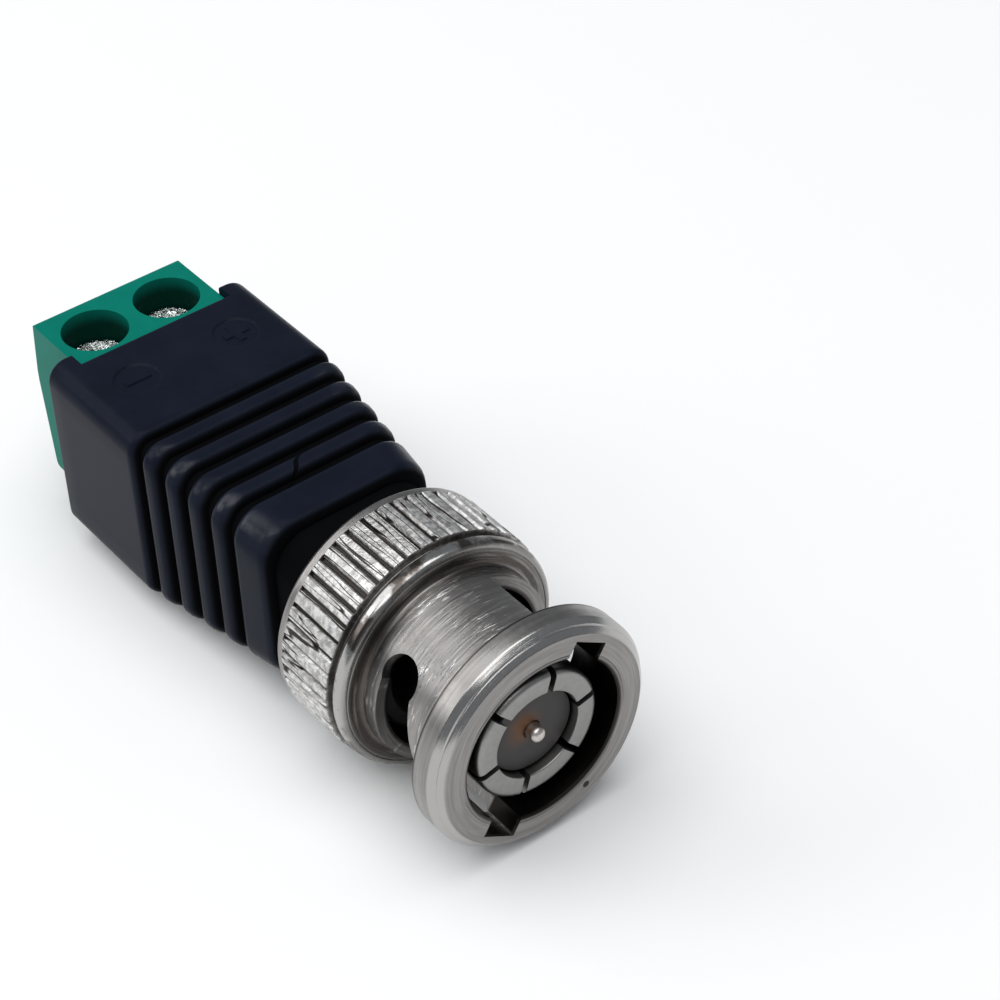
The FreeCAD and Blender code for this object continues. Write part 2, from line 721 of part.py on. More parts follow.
def make_terminal_block():
    """Two-way block: a screw well over each pole's chamber, and a wire mouth in the rear face."""
    body = new_body("terminal_block")
    side = new_sketch(body, "XZ_Plane")
    draw_outline(side, [
        (f"-{BLOCK_FRONT}", "-block_bottom"),
        (f"-{BLOCK_FRONT}", "block_top"),
        ("-block_face_depth", "block_top"),
        ("-block_face_depth - block_bulge", "chamber_top + block_lip"),
        (f"-{BLOCK_REAR}", "chamber_top"),
        ("-block_face_depth + block_lean", "-block_bottom"),
    ])
    extrude(body, side, "2 * block_half_width", both_ways=True)
    soften(body, "block_rounding", straight_edge("y", x="-block_face_depth", z="block_top"))

    wells = new_sketch(body, "XY_Plane", shift="block_top")
    for pole in ("", "-"):
        draw_circle(wells, f"-{POLE_DEPTH}", f"{pole}{POLE_SIDE}", "head_radius + head_gap")
    extrude(body, wells, f"block_top - {LEDGE_TOP}", kind="Pocket")
    holes = new_sketch(body, "XY_Plane", shift=LEDGE_TOP)
    for pole in ("", "-"):
        draw_circle(holes, f"-{POLE_DEPTH}", f"{pole}{POLE_SIDE}", "shank_radius + head_gap")
    extrude(body, holes, f"{LEDGE_TOP} - chamber_top", kind="Pocket")

    chambers = new_sketch(body, "YZ_Plane", shift=f"-{CHAMBER_FRONT}")
    for pole in ("", "-"):
        middle = f"{pole}{POLE_SIDE}"
        draw_outline(chambers, [
            (f"{middle} - chamber_half_width", "-chamber_bottom"),
            (f"{middle} + chamber_half_width", "-chamber_bottom"),
            (f"{middle} + chamber_half_width", "chamber_top"),
            (f"{middle} - chamber_half_width", "chamber_top"),
        ])
    extrude(body, chambers, f"{BLOCK_REAR} - {CHAMBER_FRONT}", kind="Pocket")
    slots = new_sketch(body, "YZ_Plane", shift=f"-{BLOCK_FRONT}")
    for pole in ("", "-"):
        middle = f"{pole}{POLE_SIDE}"
        draw_outline(slots, [
            (f"{middle} - strip_half_width - seat_gap", f"{STRIP_BOTTOM} - seat_gap"),
            (f"{middle} + strip_half_width + seat_gap", f"{STRIP_BOTTOM} - seat_gap"),
            (f"{middle} + strip_half_width + seat_gap", f"{STRIP_TOP} + seat_gap"),
            (f"{middle} - strip_half_width - seat_gap", f"{STRIP_TOP} + seat_gap"),
        ])
    extrude(body, slots, "chamber_wall", kind="Pocket")
    return body


def make_screw(label, side):
    """Clamp screw with a slot and a short cross cut in its head."""
    body = new_body(label, side)
    head = new_sketch(body, "XY_Plane", shift=LEDGE_TOP)
    draw_circle(head, f"-{POLE_DEPTH}", "0", "head_radius")
    extrude(body, head, "head_height")
    shank = new_sketch(body, "XY_Plane", shift=LEDGE_TOP)
    draw_circle(shank, f"-{POLE_DEPTH}", "0", "shank_radius")
    extrude(body, shank, f"{LEDGE_TOP} + shank_end", reverse=True)
    drive = new_sketch(body, "XY_Plane", shift=HEAD_TOP)
    draw_outline(drive, [
        (f"-{POLE_DEPTH} - drive_width / 2", "-2 * head_radius"),
        (f"-{POLE_DEPTH} + drive_width / 2", "-2 * head_radius"),
        (f"-{POLE_DEPTH} + drive_width / 2", "2 * head_radius"),
        (f"-{POLE_DEPTH} - drive_width / 2", "2 * head_radius"),
    ])
    extrude(body, drive, "drive_cut", kind="Pocket")
    cross = new_sketch(body, "XY_Plane", shift=HEAD_TOP)
    draw_outline(cross, [
        (f"-{POLE_DEPTH} - drive_cross_length / 2", "-drive_width / 2"),
        (f"-{POLE_DEPTH} + drive_cross_length / 2", "-drive_width / 2"),
        (f"-{POLE_DEPTH} + drive_cross_length / 2", "drive_width / 2"),
        (f"-{POLE_DEPTH} - drive_cross_length / 2", "drive_width / 2"),
    ])
    extrude(body, cross, "drive_cut", kind="Pocket")
    return body


def make_cage(label, side):
    """Rising clamp: a threaded block over a window with a round-cornered lower loop."""
    body = new_body(label, side)
    front = new_sketch(body, "YZ_Plane", shift=f"-{POLE_DEPTH}")
    draw_outline(front, [
        ("-cage_half_width", CAGE_BOTTOM),
        ("cage_half_width", CAGE_BOTTOM),
        ("cage_half_width", "cage_top"),
        ("-cage_half_width", "cage_top"),
    ])
    extrude(body, front, "2 * cage_half_length", both_ways=True)
    window = new_sketch(body, "YZ_Plane", shift=f"-{POLE_DEPTH}")
    draw_outline(window, [
        ("cage_wall - cage_half_width", WINDOW_BOTTOM),
        ("cage_half_width - cage_wall", WINDOW_BOTTOM),
        ("cage_half_width - cage_wall", WINDOW_TOP),
        ("cage_wall - cage_half_width", WINDOW_TOP),
    ])
    extrude(body, window, "4 * cage_half_length", kind="Pocket", both_ways=True)
    lower = [straight_edge("x", y=f"{sign}cage_half_width", z=CAGE_BOTTOM) for sign in ("", "-")]
    soften(body, "cage_rounding", lambda edge: any(test(edge) for test in lower))
    thread = new_sketch(body, "XY_Plane", shift="cage_top")
    draw_circle(thread, f"-{POLE_DEPTH}", "0", "shank_radius + running_gap")
    extrude(body, thread, "cage_block", kind="Pocket")
    return body


def make_contact(label, side):
    """Stamped strip: flat through the cage's window, then stepped up to its solder tail."""
    body = new_body(label, side)
    strip = new_sketch(body, "XZ_Plane")
    draw_outline(strip, [
        (f"-{POLE_DEPTH} - strip_reach", STRIP_BOTTOM),
        (f"strip_thickness - {TAIL_BEND}", STRIP_BOTTOM),
        (f"strip_thickness - {TAIL_BEND}", f"-{TAIL_HALF}"),
        (f"-{TAIL_END}", f"-{TAIL_HALF}"),
        (f"-{TAIL_END}", TAIL_HALF),
        (f"-{TAIL_BEND}", TAIL_HALF),
        (f"-{TAIL_BEND}", STRIP_TOP),
        (f"-{POLE_DEPTH} - strip_reach", STRIP_TOP),
    ])
    extrude(body, strip, "2 * strip_half_width", both_ways=True)
    return body


def make_lead(label, rear_side, front_side, front_depth):
    """Short insulated lead: two straight ends joined by two equal arcs that shift it sideways."""
    body = new_body(label)
    rear_x = -value(f"{TAIL_END} - solder_length")
    front_x = -value(f"{front_depth} + solder_length")
    rear_y = value(rear_side)
    front_y = value(front_side)
    straight = value("lead_straight")
    run = front_x - rear_x - 2 * straight
    shift = front_y - rear_y
    radius = (run ** 2 + shift ** 2) / (4 * abs(shift))
    toward = math.copysign(1, shift)
    half_turn = math.asin(run / 2 / radius)

    path = new_sketch(body, "XY_Plane")
    ends = [(rear_x, rear_y), (rear_x + straight, rear_y), (front_x - straight, front_y), (front_x, front_y)]
    points = [FreeCAD.Vector(a, b, 0) for a, b in ends]
    first = sketch_line(path, points[0], points[1])
    leaving = sketch_arc(path, points[1] + FreeCAD.Vector(0, toward * radius, 0), radius, -toward, half_turn)
    coming = sketch_arc(path, points[2] - FreeCAD.Vector(0, toward * radius, 0), radius, toward, -half_turn)
    last = sketch_line(path, points[2], points[3])
    leave_near, leave_far = (1, 2) if toward > 0 else (2, 1)
    come_near, come_far = (1, 2) if toward > 0 else (2, 1)
    path.addConstraint(Sketcher.Constraint("Tangent", first, 2, leaving, leave_near))
    path.addConstraint(Sketcher.Constraint("Tangent", leaving, leave_far, coming, come_far))
    path.addConstraint(Sketcher.Constraint("Tangent", coming, come_near, last, 1))
    path.addConstraint(Sketcher.Constraint("Horizontal", first))
    path.addConstraint(Sketcher.Constraint("Horizontal", last))
    path.addConstraint(Sketcher.Constraint("Equal", leaving, coming))
    hold(path, "DistanceX", f"solder_length - {TAIL_END}", -1, 1, first, 1)
    hold(path, "DistanceY", rear_side, -1, 1, first, 1)
    hold(path, "DistanceX", f"-{front_depth} - solder_length", -1, 1, last, 2)
    hold(path, "DistanceY", front_side, -1, 1, last, 2)
    hold(path, "Distance", "lead_straight", first)
    hold(path, "Distance", "lead_straight", last)

    section = new_sketch(body, "YZ_Plane", shift=f"solder_length - {TAIL_END}")
    draw_circle(section, rear_side, "0", "lead_radius")
    pipe = add_feature(body, "AdditivePipe", f"{label}_wire", section)
    pipe.Spine = path
    document.recompute()
    return body


def sketch_line(sketch, start, end):
    return sketch.addGeometry(Part.LineSegment(start, end), False)


def sketch_arc(sketch, centre, radius, side, sweep):
    """Arc from straight above or below its centre (side is 1 or -1), swept towards +x or -x."""
    start = side * math.pi / 2
    end = start - side * sweep
    circle = Part.Circle(centre, FreeCAD.Vector(0, 0, 1), radius)
    return sketch.addGeometry(Part.ArcOfCircle(circle, min(start, end), max(start, end)), False)


def make_solder(label, side, front_depth):
    """Rod of solder that joins a lead's end to the face in front of or behind it."""
    body = new_body(label, side)
    rod = new_sketch(body, "YZ_Plane", shift=f"-({front_depth}) - solder_length")
    draw_circle(rod, "0", "0", "solder_radius")
    extrude(body, rod, "solder_length")
    return body


pieces = [
    make_coupling_nut(),
    make_plug_body(),
    make_spring_collar(),
    make_insulator(),
    make_centre_pin(),
    make_gasket(),
    make_wave_washer(),
    make_thrust_washer(),
    make_retaining_ring(),
    make_boot(),
    make_terminal_block(),
]
for pole, side in (("plus", POLE_SIDE), ("minus", f"-{POLE_SIDE}")):
    pieces.append(make_screw(f"screw_{pole}", side))
    pieces.append(make_cage(f"cage_{pole}", side))
    pieces.append(make_contact(f"contact_{pole}", side))
    pieces.append(make_solder(f"solder_{pole}", side, f"{TAIL_END} - solder_length"))
pieces.append(make_lead("lead_signal", POLE_SIDE, "0", CUP_REAR))
pieces.append(make_lead("lead_ground", f"-{POLE_SIDE}", f"-{SHELL_SIDE}", "barrel_end_depth"))
pieces.append(make_solder("solder_pin", "0", CUP_REAR))
pieces.append(make_solder("solder_shell", f"-{SHELL_SIDE}", "barrel_end_depth"))

document.recompute()
faults = [item.Label for item in document.Objects if {"Invalid", "Error"} & set(item.State)]
faults += [piece.Label for piece in pieces if piece.Shape.isNull() or not piece.Shape.isValid()]
if faults:
    raise RuntimeError(f"not built: {', '.join(faults)}")

os.makedirs("parts", exist_ok=True)
for piece in pieces:
    piece.Shape.exportStep(f"parts/{piece.Label}.step")
    print(f"{piece.Label}: {piece.Shape.Volume:.3f} mm3, {len(piece.Shape.Solids)} solid")
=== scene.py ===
import json
import math

import bmesh
import bpy
import numpy as np
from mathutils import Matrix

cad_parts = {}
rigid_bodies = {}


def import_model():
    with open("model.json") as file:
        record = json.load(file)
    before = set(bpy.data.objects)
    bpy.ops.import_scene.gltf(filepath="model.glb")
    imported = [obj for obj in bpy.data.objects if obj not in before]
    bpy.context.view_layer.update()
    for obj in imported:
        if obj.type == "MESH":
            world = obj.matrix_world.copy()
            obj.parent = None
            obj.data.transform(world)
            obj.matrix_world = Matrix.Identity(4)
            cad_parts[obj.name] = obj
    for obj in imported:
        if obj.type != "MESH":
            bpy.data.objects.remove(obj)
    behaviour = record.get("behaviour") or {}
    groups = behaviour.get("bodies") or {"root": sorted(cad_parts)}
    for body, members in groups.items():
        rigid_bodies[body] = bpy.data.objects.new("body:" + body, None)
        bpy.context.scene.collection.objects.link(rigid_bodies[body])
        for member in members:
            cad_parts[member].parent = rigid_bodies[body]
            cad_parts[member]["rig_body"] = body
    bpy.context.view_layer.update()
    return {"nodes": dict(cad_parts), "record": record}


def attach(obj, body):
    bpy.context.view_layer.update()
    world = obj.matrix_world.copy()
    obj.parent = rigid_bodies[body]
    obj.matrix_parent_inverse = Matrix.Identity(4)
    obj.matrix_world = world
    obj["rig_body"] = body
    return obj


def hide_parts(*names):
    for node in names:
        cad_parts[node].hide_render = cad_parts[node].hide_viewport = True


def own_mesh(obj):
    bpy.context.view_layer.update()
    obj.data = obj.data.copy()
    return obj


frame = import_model()

# Sizes in millimetres, in the plug's own frame: the mouth's plane is x = 0 and the axis is y = z = 0
MM = 0.001
MOUTH_X = 21.475
AXIS_Z = 7.38

# Coupling nut
KNURL_RIBS = 46
KNURL_RADIUS = 7.38
KNURL_FLOOR = 7.33
KNURL_DEPTH = 0.24
KNURL_FRONT = -9.6
KNURL_REAR = -13.75
NECK_END = -8.0
NUT_BORE = 5.1
NUT_CREASE = 32
TRACK_ANGLE = math.radians(57.5)
TRACK_RADIUS = 6.1
TRACK_REAR = -7.13
ENTRY_WIDTH = 2.3
RAMP_FRONT = -2.4
RAMP_LEAD = 2.5
DETENT_X = -5.95
DETENT_RADIUS = 1.35

# Spring collar
FINGER_FRONT = -0.5
FINGER_REAR = -7.0
FINGER_COUNT = 6
COLLAR_BORE = 2.73
COLLAR_WAIST = 3.85
SLOT_WIDTH = 0.42
SLOT_ANGLE = math.radians(12.6)

# Terminal block
BLOCK_FRONT = -34.6
BLOCK_HALF_WIDTH = 5.2
POLE_X = -39.7
POLE_SIDE = 2.54
WELL_RADIUS = 2.05
LEDGE_TOP = 1.6
HOLE_RADIUS = 1.15
CHAMBER_HALF_WIDTH = 2.15
CHAMBER_FLOOR = -4.5
CHAMBER_TOP = 0.95
STRIP_HALF_WIDTH = 0.97
STRIP_BOTTOM = -2.72
STRIP_TOP = -2.23

# Clamp screws
SCREW_RIM = 3.5
SLOT_FLOOR = 2.45

# Boot
BOOT_REAR = -38.0
TOP_REAR = -36.9
RIBS_REAR = -28.9
TAPER_FRONT = -17.8
BOOT_FRONT = -13.6
BOOT_PLACES = (RIBS_REAR, TAPER_FRONT, BOOT_FRONT)
HALF_WIDTHS = (7.0, 5.72, 5.35)
HALF_HEIGHTS = (6.12, 5.58, 5.3)
CORNERS = (1.3, 2.2, 3.9)
EDGE_ROUND = 0.3
NOSE_START = -18.1
NOSE_LENGTH = 0.8
NOSE_DEPTH = 0.6
NECK_RADIUS = 4.7
BARREL_END = -17.0
BARREL_RADIUS = 3.87
VALLEY_PITCH = 1.95
VALLEYS = -28.35 + VALLEY_PITCH * np.arange(5)
VALLEY_DEPTH = 0.55
VALLEY_FLAT = 0.28
VALLEY_FLANK = 0.58
SOCKET_FLOOR = -34.6
SOCKET = (5.24, -5.22, 5.62)
LEAD_ROOM = (4.25, -2.9, 2.9)
MARK_X = -33.4
MARK_SIDE = 3.45
MARK_RADIUS = 1.43
MARK_DEPTH = 0.1
MARK_SPAN = 1.6
SIGN_REACH = 0.85
SIGN_HALF_WIDTH = 0.22
TOP_LEVEL = 6.0


# Shapes

def place(x, y, z):
    """Points of the plug's frame in millimetres, as (n, 3) metres in the part's frame."""
    x, y, z = np.broadcast_arrays(x, y, z)
    return np.stack([x + MOUTH_X, y, z + AXIS_Z], axis=-1).reshape(-1, 3) * MM


def grid_faces(rows, columns, wrap_rows=False, wrap_columns=False):
    """Four-cornered faces of a grid of points kept row by row, joined end to start where it wraps."""
    row, column = np.meshgrid(np.arange(rows - (not wrap_rows)), np.arange(columns - (not wrap_columns)),
                              indexing="ij")
    next_row = (row + 1) % rows
    next_column = (column + 1) % columns
    corners = (row * columns + column, row * columns + next_column,
               next_row * columns + next_column, next_row * columns + column)
    return np.stack(corners, axis=-1).reshape(-1, 4)


def outline(corners, steps=5):
    """Closed outline through rows of (x, r, rounding). At each corner an arc of that radius touches both
    edges: its centre is rounding / sin(half the corner's angle) along the bisector, and its points turn
    evenly about it."""
    corners = np.array(corners, float)
    tip = corners[:, :2]
    radius = corners[:, 2:]
    back = np.roll(tip, 1, axis=0) - tip
    ahead = np.roll(tip, -1, axis=0) - tip
    back /= np.linalg.norm(back, axis=1, keepdims=True)
    ahead /= np.linalg.norm(ahead, axis=1, keepdims=True)
    half = np.arccos(np.clip((back * ahead).sum(1, keepdims=True), -1, 1)) / 2
    middle = back + ahead
    middle /= np.maximum(np.linalg.norm(middle, axis=1, keepdims=True), 1e-9)
    centre = tip + middle * radius / np.sin(half)
    start = tip + back * radius / np.tan(half) - centre
    end = tip + ahead * radius / np.tan(half) - centre
    turn = np.maximum(math.pi - 2 * half, 1e-6)[:, None]
    share = np.linspace(0, 1, steps + 1)[None, :, None]
    arc = (np.sin((1 - share) * turn) * start[:, None] + np.sin(share * turn) * end[:, None]) / np.sin(turn)
    points = (centre[:, None] + arc).reshape(-1, 2)
    kept = np.linalg.norm(points - np.roll(points, 1, axis=0), axis=1) > 1e-6
    return points[kept]


def tube_faces(columns):
    """Faces between two closed rings of points, with both ends closed."""
    ends = [list(range(columns)), list(range(2 * columns - 1, columns - 1, -1))]
    return grid_faces(2, columns, wrap_columns=True).tolist() + ends


def shade(mesh, crease):
    """The mesh with smooth faces, and with edges sharper than the crease angle kept."""
    mesh.shade_smooth()
    mesh.set_sharp_from_angle(angle=math.radians(crease))
    return mesh


def make_mesh(name, points, faces, crease=30):
    """Closed mesh with doubled points merged, faces outward and sharp edges kept."""
    mesh = bpy.data.meshes.new(name)
    mesh.from_pydata(points.tolist(), [], faces if isinstance(faces, list) else faces.tolist())
    work = bmesh.new()
    work.from_mesh(mesh)
    bmesh.ops.remove_doubles(work, verts=work.verts, dist=1e-7)
    bmesh.ops.recalc_face_normals(work, faces=work.faces)
    work.to_mesh(mesh)
    work.free()
    return shade(mesh, crease)


def turned(name, profile, columns=192):
    """A closed outline of (x, r) carried round the axis: at angle a, a point is (x, r cos a, r sin a)."""
    angle = np.linspace(0, 2 * math.pi, columns, endpoint=False)
    x, r = profile[:, :1], profile[:, 1:]
    points = place(x, r * np.cos(angle), r * np.sin(angle))
    return make_mesh(name, points, grid_faces(len(profile), columns, True, True))


def new_object(name, data):
    """New object in the scene."""
    made = bpy.data.objects.new(name, data)
    bpy.context.scene.collection.objects.link(made)
    return made


def add_piece(name, mesh, body, slot, node):
    """Puts a mesh in the scene as the piece that stands for a node, riding on a body."""
    piece = new_object(name, mesh)
    mesh.materials.clear()
    mesh.materials.append(materials[slot])
    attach(piece, body)
    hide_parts(node)
    return piece


# Shader groups

def add_node(tree, kind, settings=None, **inputs):
    """A shader node with its settings. Inputs are named with _ for a space, or _0, _1 by place."""
    made = tree.nodes.new("ShaderNode" + kind)
    for key, value in (settings or {}).items():
        setattr(made, key, value)
    for key, value in inputs.items():
        socket = made.inputs[int(key[1:])] if key[0] == "_" else made.inputs[key.replace("_", " ")]
        if isinstance(value, bpy.types.NodeSocket):
            tree.links.new(value, socket)
        else:
            socket.default_value = value
    return made


def maths(tree, operation, *values):
    """Result of one Math node."""
    inputs = {f"_{index}": value for index, value in enumerate(values)}
    return add_node(tree, "Math", {"operation": operation}, **inputs).outputs[0]


def ramp(tree, value, low, high):
    """Value carried from 0 at low to 1 at high, smoothly and no further."""
    made = add_node(tree, "MapRange", {"interpolation_type": "SMOOTHSTEP"}, Value=value)
    made.inputs["From Min"].default_value = low
    made.inputs["From Max"].default_value = high
    return made.outputs["Result"]


def spread(tree, value, low, high, first, last):
    """Value carried straight from first at low to last at high, and no further."""
    made = add_node(tree, "MapRange", None, Value=value)
    for label, number in (("From Min", low), ("From Max", high), ("To Min", first), ("To Max", last)):
        made.inputs[label].default_value = number
    return made.outputs["Result"]


def product(tree, *masks):
    """Product of two or more masks."""
    result = masks[0]
    for mask in masks[1:]:
        result = maths(tree, "MULTIPLY", result, mask)
    return result


def highest(tree, *masks):
    """Highest of two or more masks."""
    result = masks[0]
    for mask in masks[1:]:
        result = maths(tree, "MAXIMUM", result, mask)
    return result


def band(tree, value, start, full, fade, end):
    """Mask of 1 between full and fade, which falls to 0 at start and at end."""
    return product(tree, ramp(tree, value, start, full), ramp(tree, value, end, fade))


def distance_to(tree, x, y, z):
    """Distance in metres to a point of the plug's frame, given in millimetres."""
    spot = add_node(tree, "TexCoord").outputs["Object"]
    away = add_node(tree, "VectorMath", {"operation": "DISTANCE"}, _0=spot)
    away.inputs[1].default_value = ((x + MOUTH_X) * MM, y * MM, (z + AXIS_Z) * MM)
    return away.outputs["Value"]


def blend(tree, share, first, second):
    """Colour that goes from first to second as share goes from 0 to 1."""
    made = tree.nodes.new("ShaderNodeMix")
    made.data_type = "RGBA"
    for index, value in ((0, share), (6, first), (7, second)):
        if isinstance(value, bpy.types.NodeSocket):
            tree.links.new(value, made.inputs[index])
        else:
            made.inputs[index].default_value = value
    return made.outputs[2]


def new_group(name, inputs, outputs):
    """Empty shader group with float inputs of given defaults and float outputs."""
    group = bpy.data.node_groups.new(name, "ShaderNodeTree")
    for label, default in inputs:
        socket = group.interface.new_socket(label, in_out="INPUT", socket_type="NodeSocketFloat")
        socket.default_value = default
    for label in outputs:
        group.interface.new_socket(label, in_out="OUTPUT", socket_type="NodeSocketFloat")
    return group, group.nodes.new("NodeGroupInput"), group.nodes.new("NodeGroupOutput")


def use_group(tree, group, **inputs):
    """A placed group whose inputs are set or linked."""
    made = tree.nodes.new("ShaderNodeGroup")
    made.node_tree = group
    for key, value in inputs.items():
        socket = made.inputs[key.replace("_", " ")]
        if isinstance(value, bpy.types.NodeSocket):
            tree.links.new(value, socket)
        else:
            socket.default_value = value
    return made


def make_axis_group():
    """Where a point lies about the plug's axis: depth behind the mouth and radius in millimetres, and turn
    in radians."""
    group, _, result = new_group("plug_axis", [], ["Depth", "Radius", "Turn"])
    spot = add_node(group, "TexCoord").outputs["Object"]
    parts = add_node(group, "SeparateXYZ", None, _0=spot).outputs
    depth = maths(group, "MULTIPLY_ADD", parts["X"], -1 / MM, MOUTH_X)
    across = maths(group, "MULTIPLY", parts["Y"], 1 / MM)
    up = maths(group, "MULTIPLY_ADD", parts["Z"], 1 / MM, -AXIS_Z)
    squares = maths(group, "ADD", maths(group, "POWER", across, 2.0), maths(group, "POWER", up, 2.0))
    group.links.new(depth, result.inputs["Depth"])
    group.links.new(maths(group, "SQRT", squares), result.inputs["Radius"])
    group.links.new(maths(group, "ARCTAN2", up, across), result.inputs["Turn"])
    return group


def wrapped_spot(group, along, turn, about):
    """Noise coordinates that run along the plug and close on themselves round it."""
    around = maths(group, "MULTIPLY", maths(group, "COSINE", turn), about)
    over = maths(group, "MULTIPLY", maths(group, "SINE", turn), about)
    return add_node(group, "CombineXYZ", None, X=along, Y=around, Z=over).outputs[0]


def noise(group, spot, scale, detail, roughness, wander=0.0):
    """Value of a noise at a spot."""
    return add_node(group, "TexNoise", None, Vector=spot, Scale=scale, Detail=detail, Roughness=roughness,
                    Distortion=wander).outputs["Fac"]


def make_streak_group():
    """Turning marks round the axis: noise that is fine along the plug and long round it. Flecks are a fine
    noise the same in all directions."""
    inputs = [("Fineness", 9.0), ("Length", 1.2)]
    group, given, result = new_group("turning_streaks", inputs, ["Streak", "Fleck"])
    axis = use_group(group, axis_group).outputs
    reach = maths(group, "ADD", axis["Depth"], axis["Radius"])
    along = maths(group, "MULTIPLY", reach, given.outputs["Fineness"])
    round_way = wrapped_spot(group, along, axis["Turn"], given.outputs["Length"])
    spot = add_node(group, "TexCoord").outputs["Object"]
    group.links.new(noise(group, round_way, 1.0, 5.0, 0.6, 0.2), result.inputs["Streak"])
    group.links.new(noise(group, spot, 2600.0, 3.0, 0.65, 0.5), result.inputs["Fleck"])
    return group


def make_score_group():
    """Fine marks on the nut. A score lies where a noise, fine round the nut and long along it, crosses its
    middle value. A stroke is a short brush mark round the axis, where another noise is high."""
    group, _, result = new_group("nut_scores", [], ["Score", "Stroke"])
    axis = use_group(group, axis_group).outputs
    lengthwise = wrapped_spot(group, maths(group, "MULTIPLY", axis["Depth"], 0.16), axis["Turn"], 17.0)
    crossing = maths(group, "SUBTRACT", noise(group, lengthwise, 1.0, 1.0, 0.5), 0.5)
    crosswise = wrapped_spot(group, maths(group, "MULTIPLY", axis["Depth"], 6.0), axis["Turn"], 4.5)
    brushed = noise(group, crosswise, 1.0, 3.0, 0.5, 0.3)
    group.links.new(ramp(group, maths(group, "ABSOLUTE", crossing), 0.03, 0.008), result.inputs["Score"])
    group.links.new(ramp(group, brushed, 0.55, 0.68), result.inputs["Stroke"])
    return group


def make_grain_group():
    """Moulded grain and faint cloudiness: fine noise for the height, and a broad one for colour and gloss."""
    inputs = [("Grain", 9000.0), ("Cloud", 350.0)]
    group, given, result = new_group("moulded_grain", inputs, ["Height", "Cloud"])
    spot = add_node(group, "TexCoord").outputs["Object"]
    group.links.new(noise(group, spot, given.outputs["Grain"], 2.0, 0.5), result.inputs["Height"])
    group.links.new(noise(group, spot, given.outputs["Cloud"], 4.0, 0.6), result.inputs["Cloud"])
    return group


def start_material(name, metallic=0.0, roughness=0.4):
    """New material with its tree and its one shader."""
    made = bpy.data.materials.new(name)
    made.use_nodes = True
    shader = made.node_tree.nodes["Principled BSDF"]
    shader.inputs["Metallic"].default_value = metallic
    shader.inputs["Roughness"].default_value = roughness
    return made, made.node_tree, shader


def add_bump(tree, shader, height, distance):
    """Bump over the shader's normal. A height of 1 stands for the distance in millimetres."""
    bump = add_node(tree, "Bump", None, Height=height, Strength=1.0, Distance=distance * MM)
    tree.links.new(bump.outputs["Normal"], shader.inputs["Normal"])


def plated_metal(name, dark, light, rough, streak_height, fleck_height):
    """Plated metal whose colour, gloss and height follow the turning marks and a fine frosting."""
    made, tree, shader = start_material(name, metallic=1.0)
    marks = use_group(tree, streak_group).outputs
    colour = blend(tree, ramp(tree, marks["Streak"], 0.3, 0.7), dark, light)
    tree.links.new(colour, shader.inputs["Base Color"])
    tree.links.new(spread(tree, marks["Fleck"], 0.3, 0.7, *rough), shader.inputs["Roughness"])
    height = maths(tree, "ADD", maths(tree, "MULTIPLY", marks["Streak"], streak_height),
                   maths(tree, "MULTIPLY", marks["Fleck"], fleck_height))
    add_bump(tree, shader, height, 1.0)
    return made


